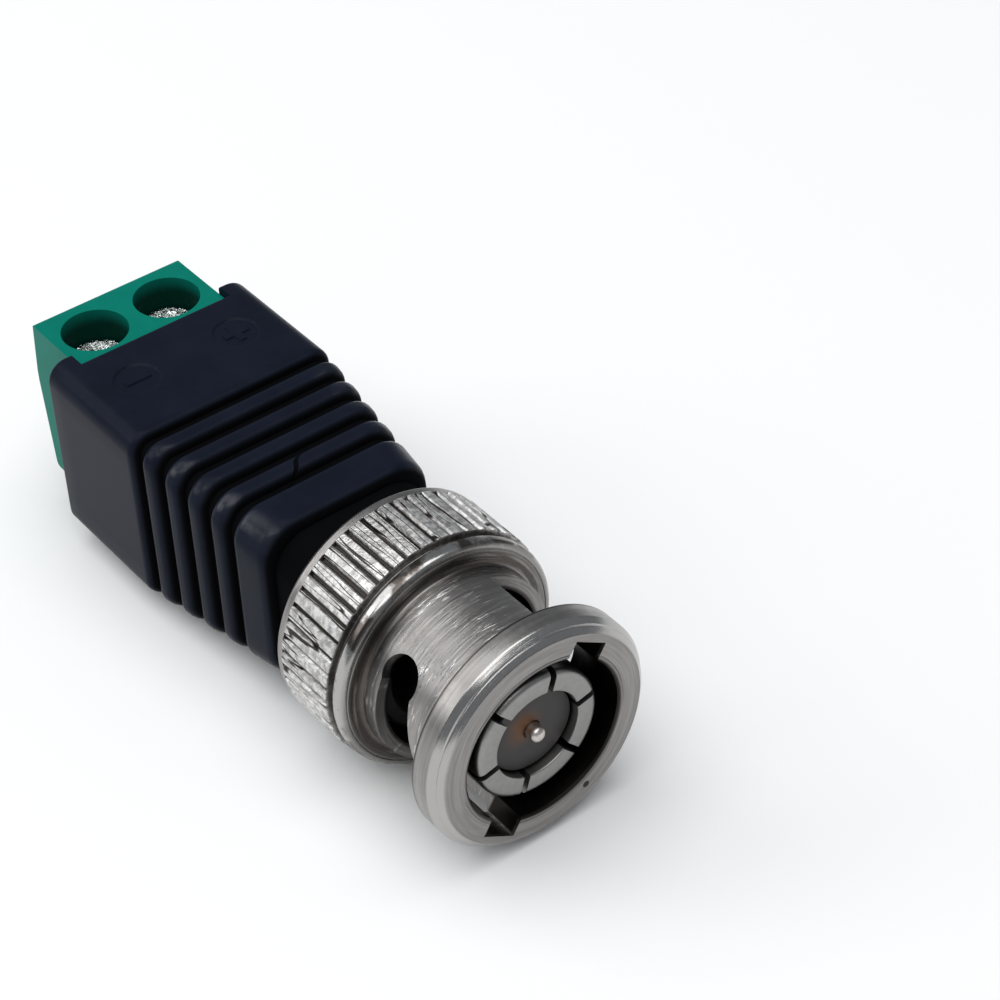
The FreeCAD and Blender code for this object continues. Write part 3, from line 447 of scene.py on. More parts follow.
def nut_metal():
    """Nickel of the nut: brushed round its neck, bright on its bead and front bevel, frosted and scored on
    its knurl, and painted dark with shade in the grooves, the tracks and the bore. Darker patches lie on the
    bead, painted shade darkens the shoulder's root and a line behind the ring, and one small pit in the
    ring's face is painted as a dark spot."""
    made, tree, shader = start_material("nut_nickel", metallic=1.0)
    axis = use_group(tree, axis_group).outputs
    depth, radius = axis["Depth"], axis["Radius"]
    marks = use_group(tree, streak_group, Fineness=5.0, Length=1.5).outputs
    scores = use_group(tree, score_group).outputs
    patch = use_group(tree, grain_group, Cloud=420.0).outputs["Cloud"]

    # Zones by depth and radius, in millimetres
    knurl = product(tree, ramp(tree, radius, 6.8, 6.9), band(tree, depth, 9.5, 9.7, 13.7, 13.8))
    neck = product(tree, ramp(tree, radius, 6.1, 5.95), band(tree, depth, 2.6, 3.4, 8.0, 8.3))
    bead = band(tree, depth, 8.35, 8.6, 9.4, 9.5)
    bevel = product(tree, ramp(tree, radius, 6.55, 6.7), ramp(tree, depth, 0.85, 0.7))
    root = product(tree, band(tree, depth, 7.9, 8.35, 8.45, 8.6), ramp(tree, radius, 6.9, 6.5))
    ring_edge = product(tree, ramp(tree, radius, 6.7, 6.9), band(tree, depth, 1.84, 1.9, 2.07, 2.12))
    track = product(tree, ramp(tree, radius, 6.14, 6.1), band(tree, depth, 0.08, 0.3, 2.2, 2.4))
    # Painted shade down the knurl's grooves
    groove = product(tree, knurl, ramp(tree, radius, 7.27, 7.16))

    shine = highest(tree, bead, bevel)
    # Painted shade: a dark line at the ring band's rear edge and darkening at the shoulder's root; darker
    # patches on the bead
    shade_and_dark_patches = highest(tree, ring_edge, product(tree, root, ramp(tree, marks["Streak"], 0.32, 0.52)),
                    product(tree, bead, ramp(tree, patch, 0.55, 0.42)))
    stroke = product(tree, neck, scores["Stroke"], ramp(tree, patch, 0.4, 0.54))
    # Dark lines: painted shade in the grooves, together with the knurl's scores
    groove_shade_and_scores = highest(tree, groove, product(tree, knurl, scores["Score"]))
    # The pit is only a painted dark spot of shade; with it, painted shade fills the tracks and the bore
    pit = ramp(tree, distance_to(tree, 0.0, 2.75, -5.14), 0.26 * MM, 0.17 * MM)
    hollow_shade = highest(tree, track, ramp(tree, radius, 5.4, 5.15), pit)

    plain = blend(tree, ramp(tree, marks["Streak"], 0.35, 0.65),
                  (0.235, 0.224, 0.216, 1), (0.31, 0.298, 0.29, 1))
    frosted = blend(tree, ramp(tree, marks["Fleck"], 0.35, 0.65),
                    (0.38, 0.372, 0.363, 1), (0.74, 0.73, 0.72, 1))
    colour = blend(tree, knurl, plain, frosted)
    # Tones laid over in turn; the last three are painted shade, except the bead's darker patches and the
    # knurl's scores
    for mask, tone in ((shine, (0.42, 0.41, 0.4, 1)), (stroke, (0.62, 0.61, 0.6, 1)),
                       (shade_and_dark_patches, (0.085, 0.073, 0.066, 1)), (groove_shade_and_scores, (0.045, 0.04, 0.036, 1)),
                       (hollow_shade, (0.03, 0.027, 0.025, 1))):
        colour = blend(tree, mask, colour, tone)
    tree.links.new(colour, shader.inputs["Base Color"])

    rough = maths(tree, "MULTIPLY_ADD", marks["Fleck"], 0.25, 0.2)
    for mask, change in ((knurl, 0.14), (shine, -0.13), (stroke, -0.1)):
        rough = maths(tree, "MULTIPLY_ADD", mask, change, rough)
    tree.links.new(rough, shader.inputs["Roughness"])

    height = maths(tree, "MULTIPLY", marks["Streak"], maths(tree, "MULTIPLY_ADD", neck, 0.025, 0.015))
    for mask, amount in ((stroke, 0.012), (product(tree, knurl, marks["Fleck"]), 0.06),
                         (product(tree, knurl, scores["Score"]), -0.05)):
        height = maths(tree, "MULTIPLY_ADD", mask, amount, height)
    add_bump(tree, shader, height, 1.0)
    return made


def collar_metal():
    """Pale plate of the spring collar: clean on the fingers' faces, and painted dark with shade down their
    sides.
    """
    made, tree, shader = start_material("collar_plating", metallic=1.0, roughness=0.36)
    axis = use_group(tree, axis_group).outputs
    marks = use_group(tree, streak_group, Fineness=6.0).outputs
    face = blend(tree, ramp(tree, marks["Fleck"], 0.35, 0.65),
                 (0.285, 0.28, 0.272, 1), (0.31, 0.305, 0.298, 1))
    # Painted shade: the colour falls to near black more than about a millimetre behind the mouth
    colour = blend(tree, ramp(tree, axis["Depth"], 0.7, 1.3), face, (0.018, 0.017, 0.016, 1))
    tree.links.new(colour, shader.inputs["Base Color"])
    add_bump(tree, shader, marks["Fleck"], 0.004)
    return made


def moulded_plastic(name, colour, cloudy, rough):
    """Satin moulding with a fine grain and a faintly cloudy colour."""
    made, tree, shader = start_material(name)
    shader.inputs["Specular IOR Level"].default_value = 0.3
    grain = use_group(tree, grain_group).outputs
    skin = blend(tree, ramp(tree, grain["Cloud"], 0.3, 0.7), colour, cloudy)
    tree.links.new(skin, shader.inputs["Base Color"])
    tree.links.new(spread(tree, grain["Cloud"], 0.0, 1.0, *rough), shader.inputs["Roughness"])
    add_bump(tree, shader, grain["Height"], 0.004)
    return made


def insulation():
    """Dark matt bead, stained brown beside the pin."""
    made, tree, shader = start_material("bead_insulation", roughness=0.45)
    shader.inputs["Specular IOR Level"].default_value = 0.3
    grain = use_group(tree, grain_group).outputs
    reach = maths(tree, "MULTIPLY_ADD", grain["Cloud"], 1.2 * MM, distance_to(tree, -1.1, -0.45, 0.35))
    colour = blend(tree, ramp(tree, reach, 2.1 * MM, 0.9 * MM),
                   (0.047, 0.043, 0.042, 1), (0.13, 0.055, 0.022, 1))
    tree.links.new(colour, shader.inputs["Base Color"])
    add_bump(tree, shader, grain["Height"], 0.003)
    return made


def boot_plastic():
    """Black satin moulding: rougher and painted near black with shade in front of the nose's edge and down
    its valleys, polished by handling on the ribs' corners, and with a crooked nick across a rib, darkened
    too."""
    made, tree, shader = start_material("black_moulding")
    shader.inputs["Specular IOR Level"].default_value = 0.045
    shader.inputs["Coat Roughness"].default_value = 0.25
    axis = use_group(tree, axis_group).outputs
    depth = axis["Depth"]
    grain = use_group(tree, grain_group).outputs
    parts = add_node(tree, "SeparateXYZ", None, _0=add_node(tree, "TexCoord").outputs["Object"]).outputs

    # The nick's line runs aslant over the top: across = 1.08 depth - 23.65, less a bend
    across = maths(tree, "MULTIPLY", parts["Y"], 1 / MM)
    bend = maths(tree, "MULTIPLY", maths(tree, "SINE", maths(tree, "MULTIPLY", depth, 5.0)), 0.12)
    aslant = maths(tree, "MULTIPLY_ADD", depth, -1.08, 23.65)
    line = maths(tree, "ADD", aslant, maths(tree, "ADD", across, bend))
    nick = product(tree, band(tree, depth, 20.45, 20.6, 21.9, 22.05),
                   ramp(tree, parts["Z"], AXIS_Z * MM, (AXIS_Z + 3) * MM),
                   ramp(tree, maths(tree, "ABSOLUTE", line), 0.2, 0.08))
    # Painted shade: near black down the valleys and in front of the nose's edge, with the nick darkened too
    from_valley = maths(tree, "PINGPONG", maths(tree, "SUBTRACT", depth, -VALLEYS[-1]), VALLEY_PITCH / 2)
    valley = product(tree, band(tree, depth, 19.8, 20.0, 28.7, 28.9), ramp(tree, from_valley, 0.6, 0.3))
    dark = highest(tree, valley, ramp(tree, depth, 17.75, 17.45), nick)
    skin = blend(tree, ramp(tree, grain["Cloud"], 0.3, 0.7),
                 (0.006, 0.0085, 0.0165, 1), (0.0078, 0.0108, 0.0205, 1))
    # The near-black tone is the painted shade
    tree.links.new(blend(tree, dark, skin, (0.0012, 0.0014, 0.002, 1)), shader.inputs["Base Color"])
    gloss = maths(tree, "MULTIPLY_ADD", grain["Cloud"], 0.1, 0.27)
    tree.links.new(maths(tree, "MULTIPLY_ADD", dark, 0.5, gloss), shader.inputs["Roughness"])

    # Polish near the four corners, half way between the upright and the level
    from_upright = maths(tree, "SUBTRACT", maths(tree, "ABSOLUTE", axis["Turn"]), math.pi / 2)
    from_corner = maths(tree, "SUBTRACT", maths(tree, "ABSOLUTE", from_upright), math.pi / 4)
    polish = product(tree, ramp(tree, maths(tree, "ABSOLUTE", from_corner), 0.15, 0.04),
                     ramp(tree, depth, 28.0, 26.5), ramp(tree, grain["Cloud"], 0.35, 0.6),
                     maths(tree, "MULTIPLY_ADD", dark, -0.5, 0.5))
    tree.links.new(polish, shader.inputs["Coat Weight"])
    height = maths(tree, "MULTIPLY_ADD", grain["Height"], 0.004, maths(tree, "MULTIPLY", nick, -0.12))
    add_bump(tree, shader, height, 1.0)
    return made


def block_plastic():
    """Green moulding, with painted shade darkening it down its wells and chambers."""
    made, tree, shader = start_material("green_moulding", roughness=0.36)
    shader.inputs["Specular IOR Level"].default_value = 0.05
    grain = use_group(tree, grain_group).outputs
    parts = add_node(tree, "SeparateXYZ", None, _0=add_node(tree, "TexCoord").outputs["Object"]).outputs

    # Distances in millimetres from the nearer pole's axis, and down from the top
    along = maths(tree, "MULTIPLY_ADD", parts["X"], 1 / MM, -MOUTH_X - POLE_X)
    side = maths(tree, "ABSOLUTE", maths(tree, "MULTIPLY", parts["Y"], 1 / MM))
    across = maths(tree, "SUBTRACT", side, POLE_SIDE)
    squares = maths(tree, "ADD", maths(tree, "POWER", along, 2.0), maths(tree, "POWER", across, 2.0))
    down = maths(tree, "MULTIPLY_ADD", parts["Z"], -1 / MM, AXIS_Z + 5.55)
    # Painted shade down the wells and the chambers
    well = product(tree, ramp(tree, squares, (WELL_RADIUS + 0.12) ** 2, WELL_RADIUS ** 2),
                   ramp(tree, down, 0.0, 1.1))
    chamber = product(tree, ramp(tree, maths(tree, "ABSOLUTE", across), 2.22, 2.12),
                      ramp(tree, along, -3.1, -1.8), ramp(tree, down, 4.4, 4.75))
    face = blend(tree, ramp(tree, grain["Cloud"], 0.3, 0.7),
                 (0.0012, 0.155, 0.115, 1), (0.0016, 0.175, 0.13, 1))
    colour = blend(tree, highest(tree, well, chamber), face, (0.0005, 0.036, 0.024, 1))
    tree.links.new(colour, shader.inputs["Base Color"])
    add_bump(tree, shader, grain["Height"], 0.004)
    return made


axis_group = make_axis_group()
streak_group = make_streak_group()
score_group = make_score_group()
grain_group = make_grain_group()
materials = {
    "nickel_nut": nut_metal(),
    "nickel_plate": plated_metal("satin_nickel", (0.38, 0.37, 0.35, 1), (0.6, 0.59, 0.57, 1),
                                 (0.25, 0.4), 0.02, 0.01),
    "collar_plate": collar_metal(),
    "insulation": insulation(),
    "pin_metal": plated_metal("pin_plating", (0.55, 0.5, 0.46, 1), (0.68, 0.63, 0.6, 1),
                              (0.3, 0.42), 0.0, 0.01),
    "seal_rubber": moulded_plastic("gasket_rubber", (0.02, 0.02, 0.02, 1), (0.03, 0.03, 0.03, 1),
                                   (0.55, 0.7)),
    "spring_steel": plated_metal("sprung_steel", (0.4, 0.4, 0.4, 1), (0.55, 0.55, 0.55, 1),
                                 (0.2, 0.3), 0.01, 0.0),
    "boot_plastic": boot_plastic(),
    "block_plastic": block_plastic(),
    "screw_steel": plated_metal("screw_zinc", (0.22, 0.26, 0.24, 1), (0.8, 0.84, 0.82, 1),
                                (0.08, 0.2), 0.0, 0.3),
    "cage_plate": plated_metal("cage_nickel", (0.55, 0.55, 0.55, 1), (0.72, 0.72, 0.71, 1),
                               (0.25, 0.4), 0.0, 0.01),
    "tin_plate": plated_metal("strip_tin", (0.55, 0.55, 0.54, 1), (0.7, 0.7, 0.69, 1),
                              (0.25, 0.4), 0.0, 0.01),
    "solder": plated_metal("solder_bead", (0.5, 0.5, 0.51, 1), (0.68, 0.68, 0.69, 1),
                           (0.15, 0.3), 0.0, 0.03),
    "lead_red": moulded_plastic("red_lead_cover", (0.35, 0.012, 0.01, 1), (0.42, 0.018, 0.014, 1),
                                (0.35, 0.45)),
    "lead_black": moulded_plastic("black_lead_cover", (0.012, 0.012, 0.013, 1), (0.018, 0.018, 0.02, 1),
                                  (0.35, 0.45)),
}
slot_of = {part["node"]: part["material_slot"] for part in frame["record"]["subparts"]}
for name, node in frame["nodes"].items():
    node.data.materials.clear()
    node.data.materials.append(materials[slot_of[name]])


# Coupling nut

def nut_angles():
    """Columns of the nut: eleven across each rib's pitch, closer at the groove's flanks. Returns each
    column's angle, its rib's number and its distance from the groove's middle."""
    across = np.array([-0.42, -0.27, -0.2, -0.15, -0.08, 0.0, 0.08, 0.15, 0.2, 0.27, 0.42])
    rib = np.repeat(np.arange(KNURL_RIBS), len(across))
    offset = np.tile(across, KNURL_RIBS)
    angle = (rib + 0.5) * 2 * math.pi / KNURL_RIBS - math.pi / 2 + offset / KNURL_RADIUS
    return angle, rib, offset


def nut_front_mesh():
    """Ring and neck before the tracks are cut: their closed outline carried round the axis."""
    profile = outline([
        (-0.12, NUT_BORE, 0.03), (0.0, 5.22, 0.03), (0.0, 5.36, 0.01), (-0.05, 5.4, 0.01),
        (0.0, 5.44, 0.01), (0.0, 6.6, 0.05), (-0.3, 6.93, 0.03), (-0.36, 6.88, 0.02),
        (-0.42, 7.0, 0.02), (-0.75, 7.25, 0.2), (-2.0, 7.25, 0.04), (-2.03, 6.95, 0.02),
        (-2.2, 5.85, 0.95), (NECK_END, 5.85, 0.0), (NECK_END, NUT_BORE, 0.0),
    ])
    x, r = profile[:, :1], profile[:, 1:]
    angle = nut_angles()[0]
    points = place(x, r * np.cos(angle), r * np.sin(angle))
    faces = grid_faces(len(profile), len(angle), True, True)
    return make_mesh("coupling_nut_shell", points, faces, NUT_CREASE)


def nut_rear_mesh():
    """Shoulder, bead, knurl, rim and web: their outline carried round the axis, open where it meets the
    neck. In a groove, the radius falls by the groove's depth times a smooth step of the distance from its
    middle. Each groove has a width and a bend of its own."""
    profile = outline([
        (NECK_END, 5.85, 0.0), (-8.4, 5.85, 0.3), (-8.4, 6.74, 0.03), (-8.45, 6.78, 0.02), (-8.4, 6.82, 0.03),
        (-8.4, 7.23, 0.35), (-9.4, 7.23, 0.35), (-9.4, 6.86, 0.05), (KNURL_FRONT, 6.86, 0.03),
        (KNURL_FRONT, KNURL_RADIUS, 0.08), (KNURL_REAR, KNURL_RADIUS, 0.04), (KNURL_REAR, 7.32, 0.0),
        (-14.2, 7.32, 0.2), (-14.5, 7.05, 0.1), (-14.5, 6.7, 0.05), (-12.6, 6.7, 0.05),
        (-12.6, 3.91, 0.05), (-11.6, 3.91, 0.05), (-11.6, NUT_BORE, 0.1), (NECK_END, NUT_BORE, 0.0),
    ])
    chance = np.random.default_rng(7)
    angle, rib, offset = nut_angles()
    x, r = profile[:, :1], profile[:, 1:]
    width = 1 + chance.uniform(-0.25, 0.35, KNURL_RIBS)[rib]
    phase = chance.uniform(0, 2 * math.pi, KNURL_RIBS)[rib]
    shift = 0.02 * np.sin(2.1 * x + phase)
    share = np.clip((np.abs(offset + shift) / width - 0.06) / 0.13, 0, 1)
    groove = 1 - share ** 2 * (3 - 2 * share)
    on_knurl = (x > KNURL_REAR - 1e-6) & (x < KNURL_FRONT + 1e-6) & (r > KNURL_FLOOR)
    r = np.where(on_knurl, KNURL_RADIUS - KNURL_DEPTH * groove - (KNURL_RADIUS - r), r)
    points = place(x, r * np.cos(angle), r * np.sin(angle))
    faces = grid_faces(len(profile), len(angle), False, True)
    return make_mesh("coupling_nut_rear", points, faces, NUT_CREASE)


def join_at_neck(front, rear):
    """Front and rear of the nut as one closed mesh: the front's flat end is dropped, and the rims merge."""
    work = bmesh.new()
    work.from_mesh(front)
    end = (NECK_END + MOUTH_X) * MM
    flat = [face for face in work.faces if all(abs(corner.co.x - end) < 1e-7 for corner in face.verts)]
    bmesh.ops.delete(work, geom=flat, context="FACES")
    work.from_mesh(rear)
    bmesh.ops.remove_doubles(work, verts=work.verts, dist=1e-7)
    bmesh.ops.recalc_face_normals(work, faces=work.faces)
    work.to_mesh(front)
    work.free()
    return shade(front, NUT_CREASE)


def box_mesh(name, low, high, turn=0.0):
    """Plain block between two corners, turned about the plug's axis."""
    share = np.array([(i, j, k) for i in (0, 1) for j in (0, 1) for k in (0, 1)])
    x, y, z = (np.array(low) + share * (np.array(high) - low)).T
    points = place(x, y * np.cos(turn) - z * np.sin(turn), y * np.sin(turn) + z * np.cos(turn))
    faces = [[0, 1, 3, 2], [4, 6, 7, 5], [0, 4, 5, 1], [2, 3, 7, 6], [0, 2, 6, 4], [1, 5, 7, 3]]
    return make_mesh(name, points, faces)


def track_mesh(name, start):
    """A quarter turn of the track: at a share s of the turn, its front lies at RAMP_FRONT - RAMP_LEAD s."""
    columns = 49
    inner = 4.4
    share = np.linspace(0, 1, columns)[None, :]
    angle = start - share * math.pi / 2
    front = RAMP_FRONT - RAMP_LEAD * share
    rear = np.full_like(front, TRACK_REAR)
    x = np.concatenate([front, front, rear, rear])
    r = np.array([[inner], [TRACK_RADIUS], [TRACK_RADIUS], [inner]])
    points = place(x, r * np.cos(angle), r * np.sin(angle))
    first = [row * columns for row in range(4)]
    faces = grid_faces(4, columns, wrap_rows=True).tolist()
    faces += [first, [corner + columns - 1 for corner in reversed(first)]]
    return make_mesh(name, points, faces)


def detent_mesh(name, turn):
    """Round drill across the whole nut: a circle of the detent's radius carried along its own direction."""
    columns = 64
    reach = 9.0
    angle = np.linspace(0, 2 * math.pi, columns, endpoint=False)[None, :]
    along = np.array([[-reach], [reach]])
    x = DETENT_X + DETENT_RADIUS * np.cos(angle) + 0 * along
    side = DETENT_RADIUS * np.sin(angle) + 0 * along
    y = side * np.cos(turn) - along * np.sin(turn)
    z = side * np.sin(turn) + along * np.cos(turn)
    return make_mesh(name, place(x, y, z), tube_faces(columns))


def cut_away(mesh, cutters):
    """The mesh less each cutter."""
    blank = new_object("blank", mesh)
    tools = [new_object(cutter.name, cutter) for cutter in cutters]
    for tool in tools:
        cut = blank.modifiers.new(tool.name, "BOOLEAN")
        cut.operation = "DIFFERENCE"
        cut.solver = "EXACT"
        cut.object = tool
    seen = bpy.context.evaluated_depsgraph_get()
    result = bpy.data.meshes.new_from_object(blank.evaluated_get(seen))
    result.name = mesh.name
    for item in [blank, *tools]:
        bpy.data.objects.remove(item)
    return result


entry_half = ENTRY_WIDTH / 2
nut_front = cut_away(nut_front_mesh(), [
    box_mesh("entry_cut", (TRACK_REAR, -TRACK_RADIUS, -entry_half), (1.0, TRACK_RADIUS, entry_half),
             TRACK_ANGLE),
    track_mesh("track_cut_a", TRACK_ANGLE),
    track_mesh("track_cut_b", TRACK_ANGLE + math.pi),
    detent_mesh("detent_cut", TRACK_ANGLE),
])
nut = join_at_neck(nut_front, nut_rear_mesh())
add_piece("coupling_nut_turned", nut, "nut", "nickel_nut", "coupling_nut")


# Spring collar: six fingers on a foot

def collar_mesh():
    """Fingers: the outline carried through each sector between two slots, whose ends are closed flat.
    The foot behind them is the same outline carried all the way round."""
    finger = outline([
        (FINGER_FRONT, COLLAR_BORE, 0.12), (FINGER_FRONT, 4.05, 0.4), (-6.8, 4.05, 0.02),
        (-6.8, COLLAR_WAIST, 0.02), (FINGER_REAR, COLLAR_WAIST, 0.0), (FINGER_REAR, COLLAR_BORE, 0.0),
    ])
    foot = outline([
        (FINGER_REAR, COLLAR_BORE, 0), (FINGER_REAR, COLLAR_WAIST, 0), (-9.4, COLLAR_WAIST, 0),
        (-9.4, 3.35, 0), (-11.8, 3.35, 0), (-11.8, COLLAR_BORE, 0),
    ])
    columns = 25
    foot_columns = 96
    sector = 2 * math.pi / FINGER_COUNT
    x, r = finger[:, :1], finger[:, 1:]
    gap = np.arcsin(SLOT_WIDTH / 2 / r)
    share = np.linspace(0, 1, columns)[None, :]
    points = []
    faces = []
    for number in range(FINGER_COUNT):
        angle = SLOT_ANGLE + number * sector + gap + share * (sector - 2 * gap)
        start = number * len(finger) * columns
        points.append(place(x, r * np.cos(angle), r * np.sin(angle)))
        faces += (grid_faces(len(finger), columns, wrap_rows=True) + start).tolist()
        rim = start + np.arange(len(finger)) * columns
        faces += [rim.tolist(), (rim[::-1] + columns - 1).tolist()]
    turn = np.linspace(0, 2 * math.pi, foot_columns, endpoint=False)
    start = FINGER_COUNT * len(finger) * columns
    points.append(place(foot[:, :1], foot[:, 1:] * np.cos(turn), foot[:, 1:] * np.sin(turn)))
    faces += (grid_faces(len(foot), foot_columns, True, True) + start).tolist()
    return make_mesh("spring_collar_fingers", np.concatenate(points), faces)


add_piece("spring_collar_turned", collar_mesh(), "plug", "collar_plate", "spring_collar")


# Boot

def rib_inset(x):
    """How far the valleys draw the outline in. It is full within the flat half width of a valley's middle,
    and falls to none over its flank on a curve near a quarter circle, so that the ribs between are round."""
    share = np.clip((np.abs(x[:, None] - VALLEYS) - VALLEY_FLAT) / VALLEY_FLANK, 0, 1)
    return VALLEY_DEPTH * (1 - np.sqrt(1 - (1 - share) ** 2.2)).max(axis=1)


def nose_inset(x):
    """How far the nose is drawn in: a quarter ellipse from none at its edge to its full depth."""
    share = np.clip((x - NOSE_START) / NOSE_LENGTH, 0, 1)
    return NOSE_DEPTH * (1 - np.sqrt(1 - share ** 2))


def boot_outline(x, inset, side_y, side_z, angle):
    """Rounded rectangle at each x, less an inset. A point is its side's share of the flat part, plus the
    corner's radius in the direction of its angle. The half sizes run straight from the ribs' rear to the
    taper's front to the nose, and keep the neck's size at least."""
    drawn_in = inset + nose_inset(x)
    wide = np.maximum(np.interp(x, BOOT_PLACES, HALF_WIDTHS) - drawn_in, NECK_RADIUS)[:, None]
    high = np.maximum(np.interp(x, BOOT_PLACES, HALF_HEIGHTS) - drawn_in, NECK_RADIUS)[:, None]
    corner = np.maximum(np.interp(x, BOOT_PLACES, CORNERS) - inset, EDGE_ROUND)[:, None]
    y = side_y * (wide - corner) + np.cos(angle) * corner
    z = side_z * (high - corner) + np.sin(angle) * corner
    return y, z


def boot_mesh():
    """Skin of the boot: outlines from the rear edge to the nose, the nose's face, the bore and the lead room
    back to the socket, and the socket's walls out to the rear edge. On top, each pole's mark is a round
    recess."""
    # Columns, from the left round over the top: corners and flats in turn, dense over the marks
    flat = HALF_WIDTHS[0] - CORNERS[0]
    hair = 1e-4
    span = np.linspace(-MARK_SPAN, MARK_SPAN, 54)
    mark = np.concatenate([span + MARK_SIDE, [SOCKET[0], SOCKET[0] + hair]])
    top = np.unique(np.concatenate([-mark, np.linspace(-flat, flat, 12), mark]))[::-1] / flat
    down = np.linspace(1, -1, 9)[1:-1]
    arc = np.linspace(0, math.pi / 2, 9)
    ones = np.ones(len(arc))
    level = np.ones(len(down))
    side_y = np.concatenate([ones, top, -ones, -level, -ones, -down, ones, level])
    side_z = np.concatenate([ones, np.ones(len(top)), ones, down, -ones, -level, -ones, -down])
    angle = np.concatenate([arc, np.full(len(top), math.pi / 2), arc + math.pi / 2, math.pi * level,
                            arc + math.pi, 1.5 * math.pi * level, arc + 1.5 * math.pi, 2 * math.pi * level])

    # Stations: the rear, dense over the marks and the valleys, and the nose
    flank = VALLEY_FLAT + VALLEY_FLANK * (1 - np.cos(np.linspace(0, math.pi / 2, 10)))
    x = np.unique(np.round(np.concatenate([
        np.linspace(-36.5, RIBS_REAR, 16), MARK_X + span,
        *[np.concatenate([valley - flank, valley + flank]) for valley in VALLEYS],
        NOSE_START + NOSE_LENGTH * np.sin(np.linspace(0, math.pi / 2, 14)), [-16.4, -15.0, BOOT_FRONT]]), 4))
    y, z = boot_outline(x, rib_inset(x), side_y, side_z, angle)
    radius = np.hypot(x[:, None] - MARK_X, np.abs(y) - MARK_SIDE)
    along = np.abs(x[:, None] - MARK_X)
    lengthwise = (along < SIGN_REACH) & (np.abs(y - MARK_SIDE) < SIGN_HALF_WIDTH)
    crosswise = (along < SIGN_HALF_WIDTH) & (np.abs(np.abs(y) - MARK_SIDE) < SIGN_REACH)
    recess = np.clip((MARK_RADIUS - radius) / 0.08, 0, 1) * ~(lengthwise | crosswise)
    z = z - MARK_DEPTH * recess * (z > TOP_LEVEL)
    skin = np.stack([np.broadcast_to(x[:, None], y.shape), y, z], axis=-1)

    # Rear edge: rounded, and stepped forward over the terminals
    rear_y, rear_z = boot_outline(np.array([BOOT_REAR]), np.zeros(1), side_y, side_z, angle)
    over = (rear_z > TOP_LEVEL) & (np.abs(rear_y) < SOCKET[0] + hair / 2)
    rear_x = np.where(over, TOP_REAR, BOOT_REAR)
    bend = np.linspace(0, math.pi / 2, 6)[:, None]
    ring_inset = EDGE_ROUND * (1 - np.cos(bend[:, 0]))
    ring_y, ring_z = boot_outline(np.full(len(bend), BOOT_REAR), ring_inset, side_y, side_z, angle)
    ring_x = rear_x + EDGE_ROUND - EDGE_ROUND * np.sin(bend)
    edge = np.stack([ring_x, ring_y, ring_z], axis=-1)[::-1]

    # Inside: socket, lead room and bore
    def boxed(limits, x_there):
        """The rear edge's points at another x, drawn in to a half width, a floor and a roof."""
        return np.stack([x_there + 0 * rear_y, np.clip(rear_y, -limits[0], limits[0]),
                         np.clip(rear_z, limits[1], limits[2])], axis=-1)

    direction = np.arctan2(rear_z, rear_y)
    round_y, round_z = BARREL_RADIUS * np.cos(direction), BARREL_RADIUS * np.sin(direction)
    bore_x = np.array([[BOOT_FRONT], [BARREL_END]])
    bore = np.stack(np.broadcast_arrays(bore_x, round_y, round_z), axis=-1)
    rows = np.concatenate([edge, skin, bore, boxed(LEAD_ROOM, BARREL_END), boxed(LEAD_ROOM, SOCKET_FLOOR),
                           boxed(SOCKET, SOCKET_FLOOR), boxed(SOCKET, rear_x)])
    points = place(rows[..., 0], rows[..., 1], rows[..., 2])
    return make_mesh("boot_skin", points, grid_faces(len(rows), rows.shape[1], True, True), 38)


add_piece("boot_moulding", boot_mesh(), "plug", "boot_plastic", "boot")


# Terminal block

def prism_mesh(name, profile, half_width, crease):
    """A closed outline of (x, z) carried straight across the plug."""
    x, z = profile[:, 0], profile[:, 1]
    side = np.array([[-half_width], [half_width]])
    return make_mesh(name, place(x, side, z), tube_faces(len(profile)), crease)


def drill_mesh(name, side, radius, low, high):
    """Upright round drill over a pole: a circle of its radius carried from low to high."""
    columns = 72
    angle = np.linspace(0, 2 * math.pi, columns, endpoint=False)
    points = place(POLE_X + radius * np.cos(angle), side + radius * np.sin(angle), np.array([[low], [high]]))
    return make_mesh(name, points, tube_faces(columns))


def ease_edges(piece, width, segments=3):
    """Rounds the piece's sharp edges by a bevel of that width in millimetres."""
    ease = piece.modifiers.new("eased_edges", "BEVEL")
    ease.width = width * MM
    ease.segments = segments
    ease.limit_method = "ANGLE"
    ease.angle_limit = math.radians(40)
    ease.harden_normals = True


def block_mesh():
    """Side outline of the block less the wells, the screws' holes, the chambers and the strips' slots."""
    blank = prism_mesh("terminal_block_moulding", outline([
        (BLOCK_FRONT, -5.2, 0.0), (BLOCK_FRONT, 5.6, 0.0), (-42.55, 5.6, 0.1), (-42.93, 2.0, 0.6),
        (-42.93, 1.2, 0.3), (-42.4, -5.2, 0.4)], 4), BLOCK_HALF_WIDTH, 25)
    cutters = []
    for pole, side in (("plus", POLE_SIDE), ("minus", -POLE_SIDE)):
        cutters += [
            drill_mesh(f"well_{pole}", side, WELL_RADIUS, LEDGE_TOP, 7.0),
            drill_mesh(f"hole_{pole}", side, HOLE_RADIUS, 0.9, 3.0),
            box_mesh(f"chamber_{pole}", (-44.0, side - CHAMBER_HALF_WIDTH, CHAMBER_FLOOR),
                     (-36.5, side + CHAMBER_HALF_WIDTH, CHAMBER_TOP)),
            box_mesh(f"slot_{pole}", (-37.0, side - STRIP_HALF_WIDTH, STRIP_BOTTOM),
                     (-34.0, side + STRIP_HALF_WIDTH, STRIP_TOP)),
        ]
    return shade(cut_away(blank, cutters), 30)


block = add_piece("terminal_block_moulding", block_mesh(), "plug", "block_plastic", "terminal_block")
ease_edges(block, 0.16)


# Clamp screws and cages

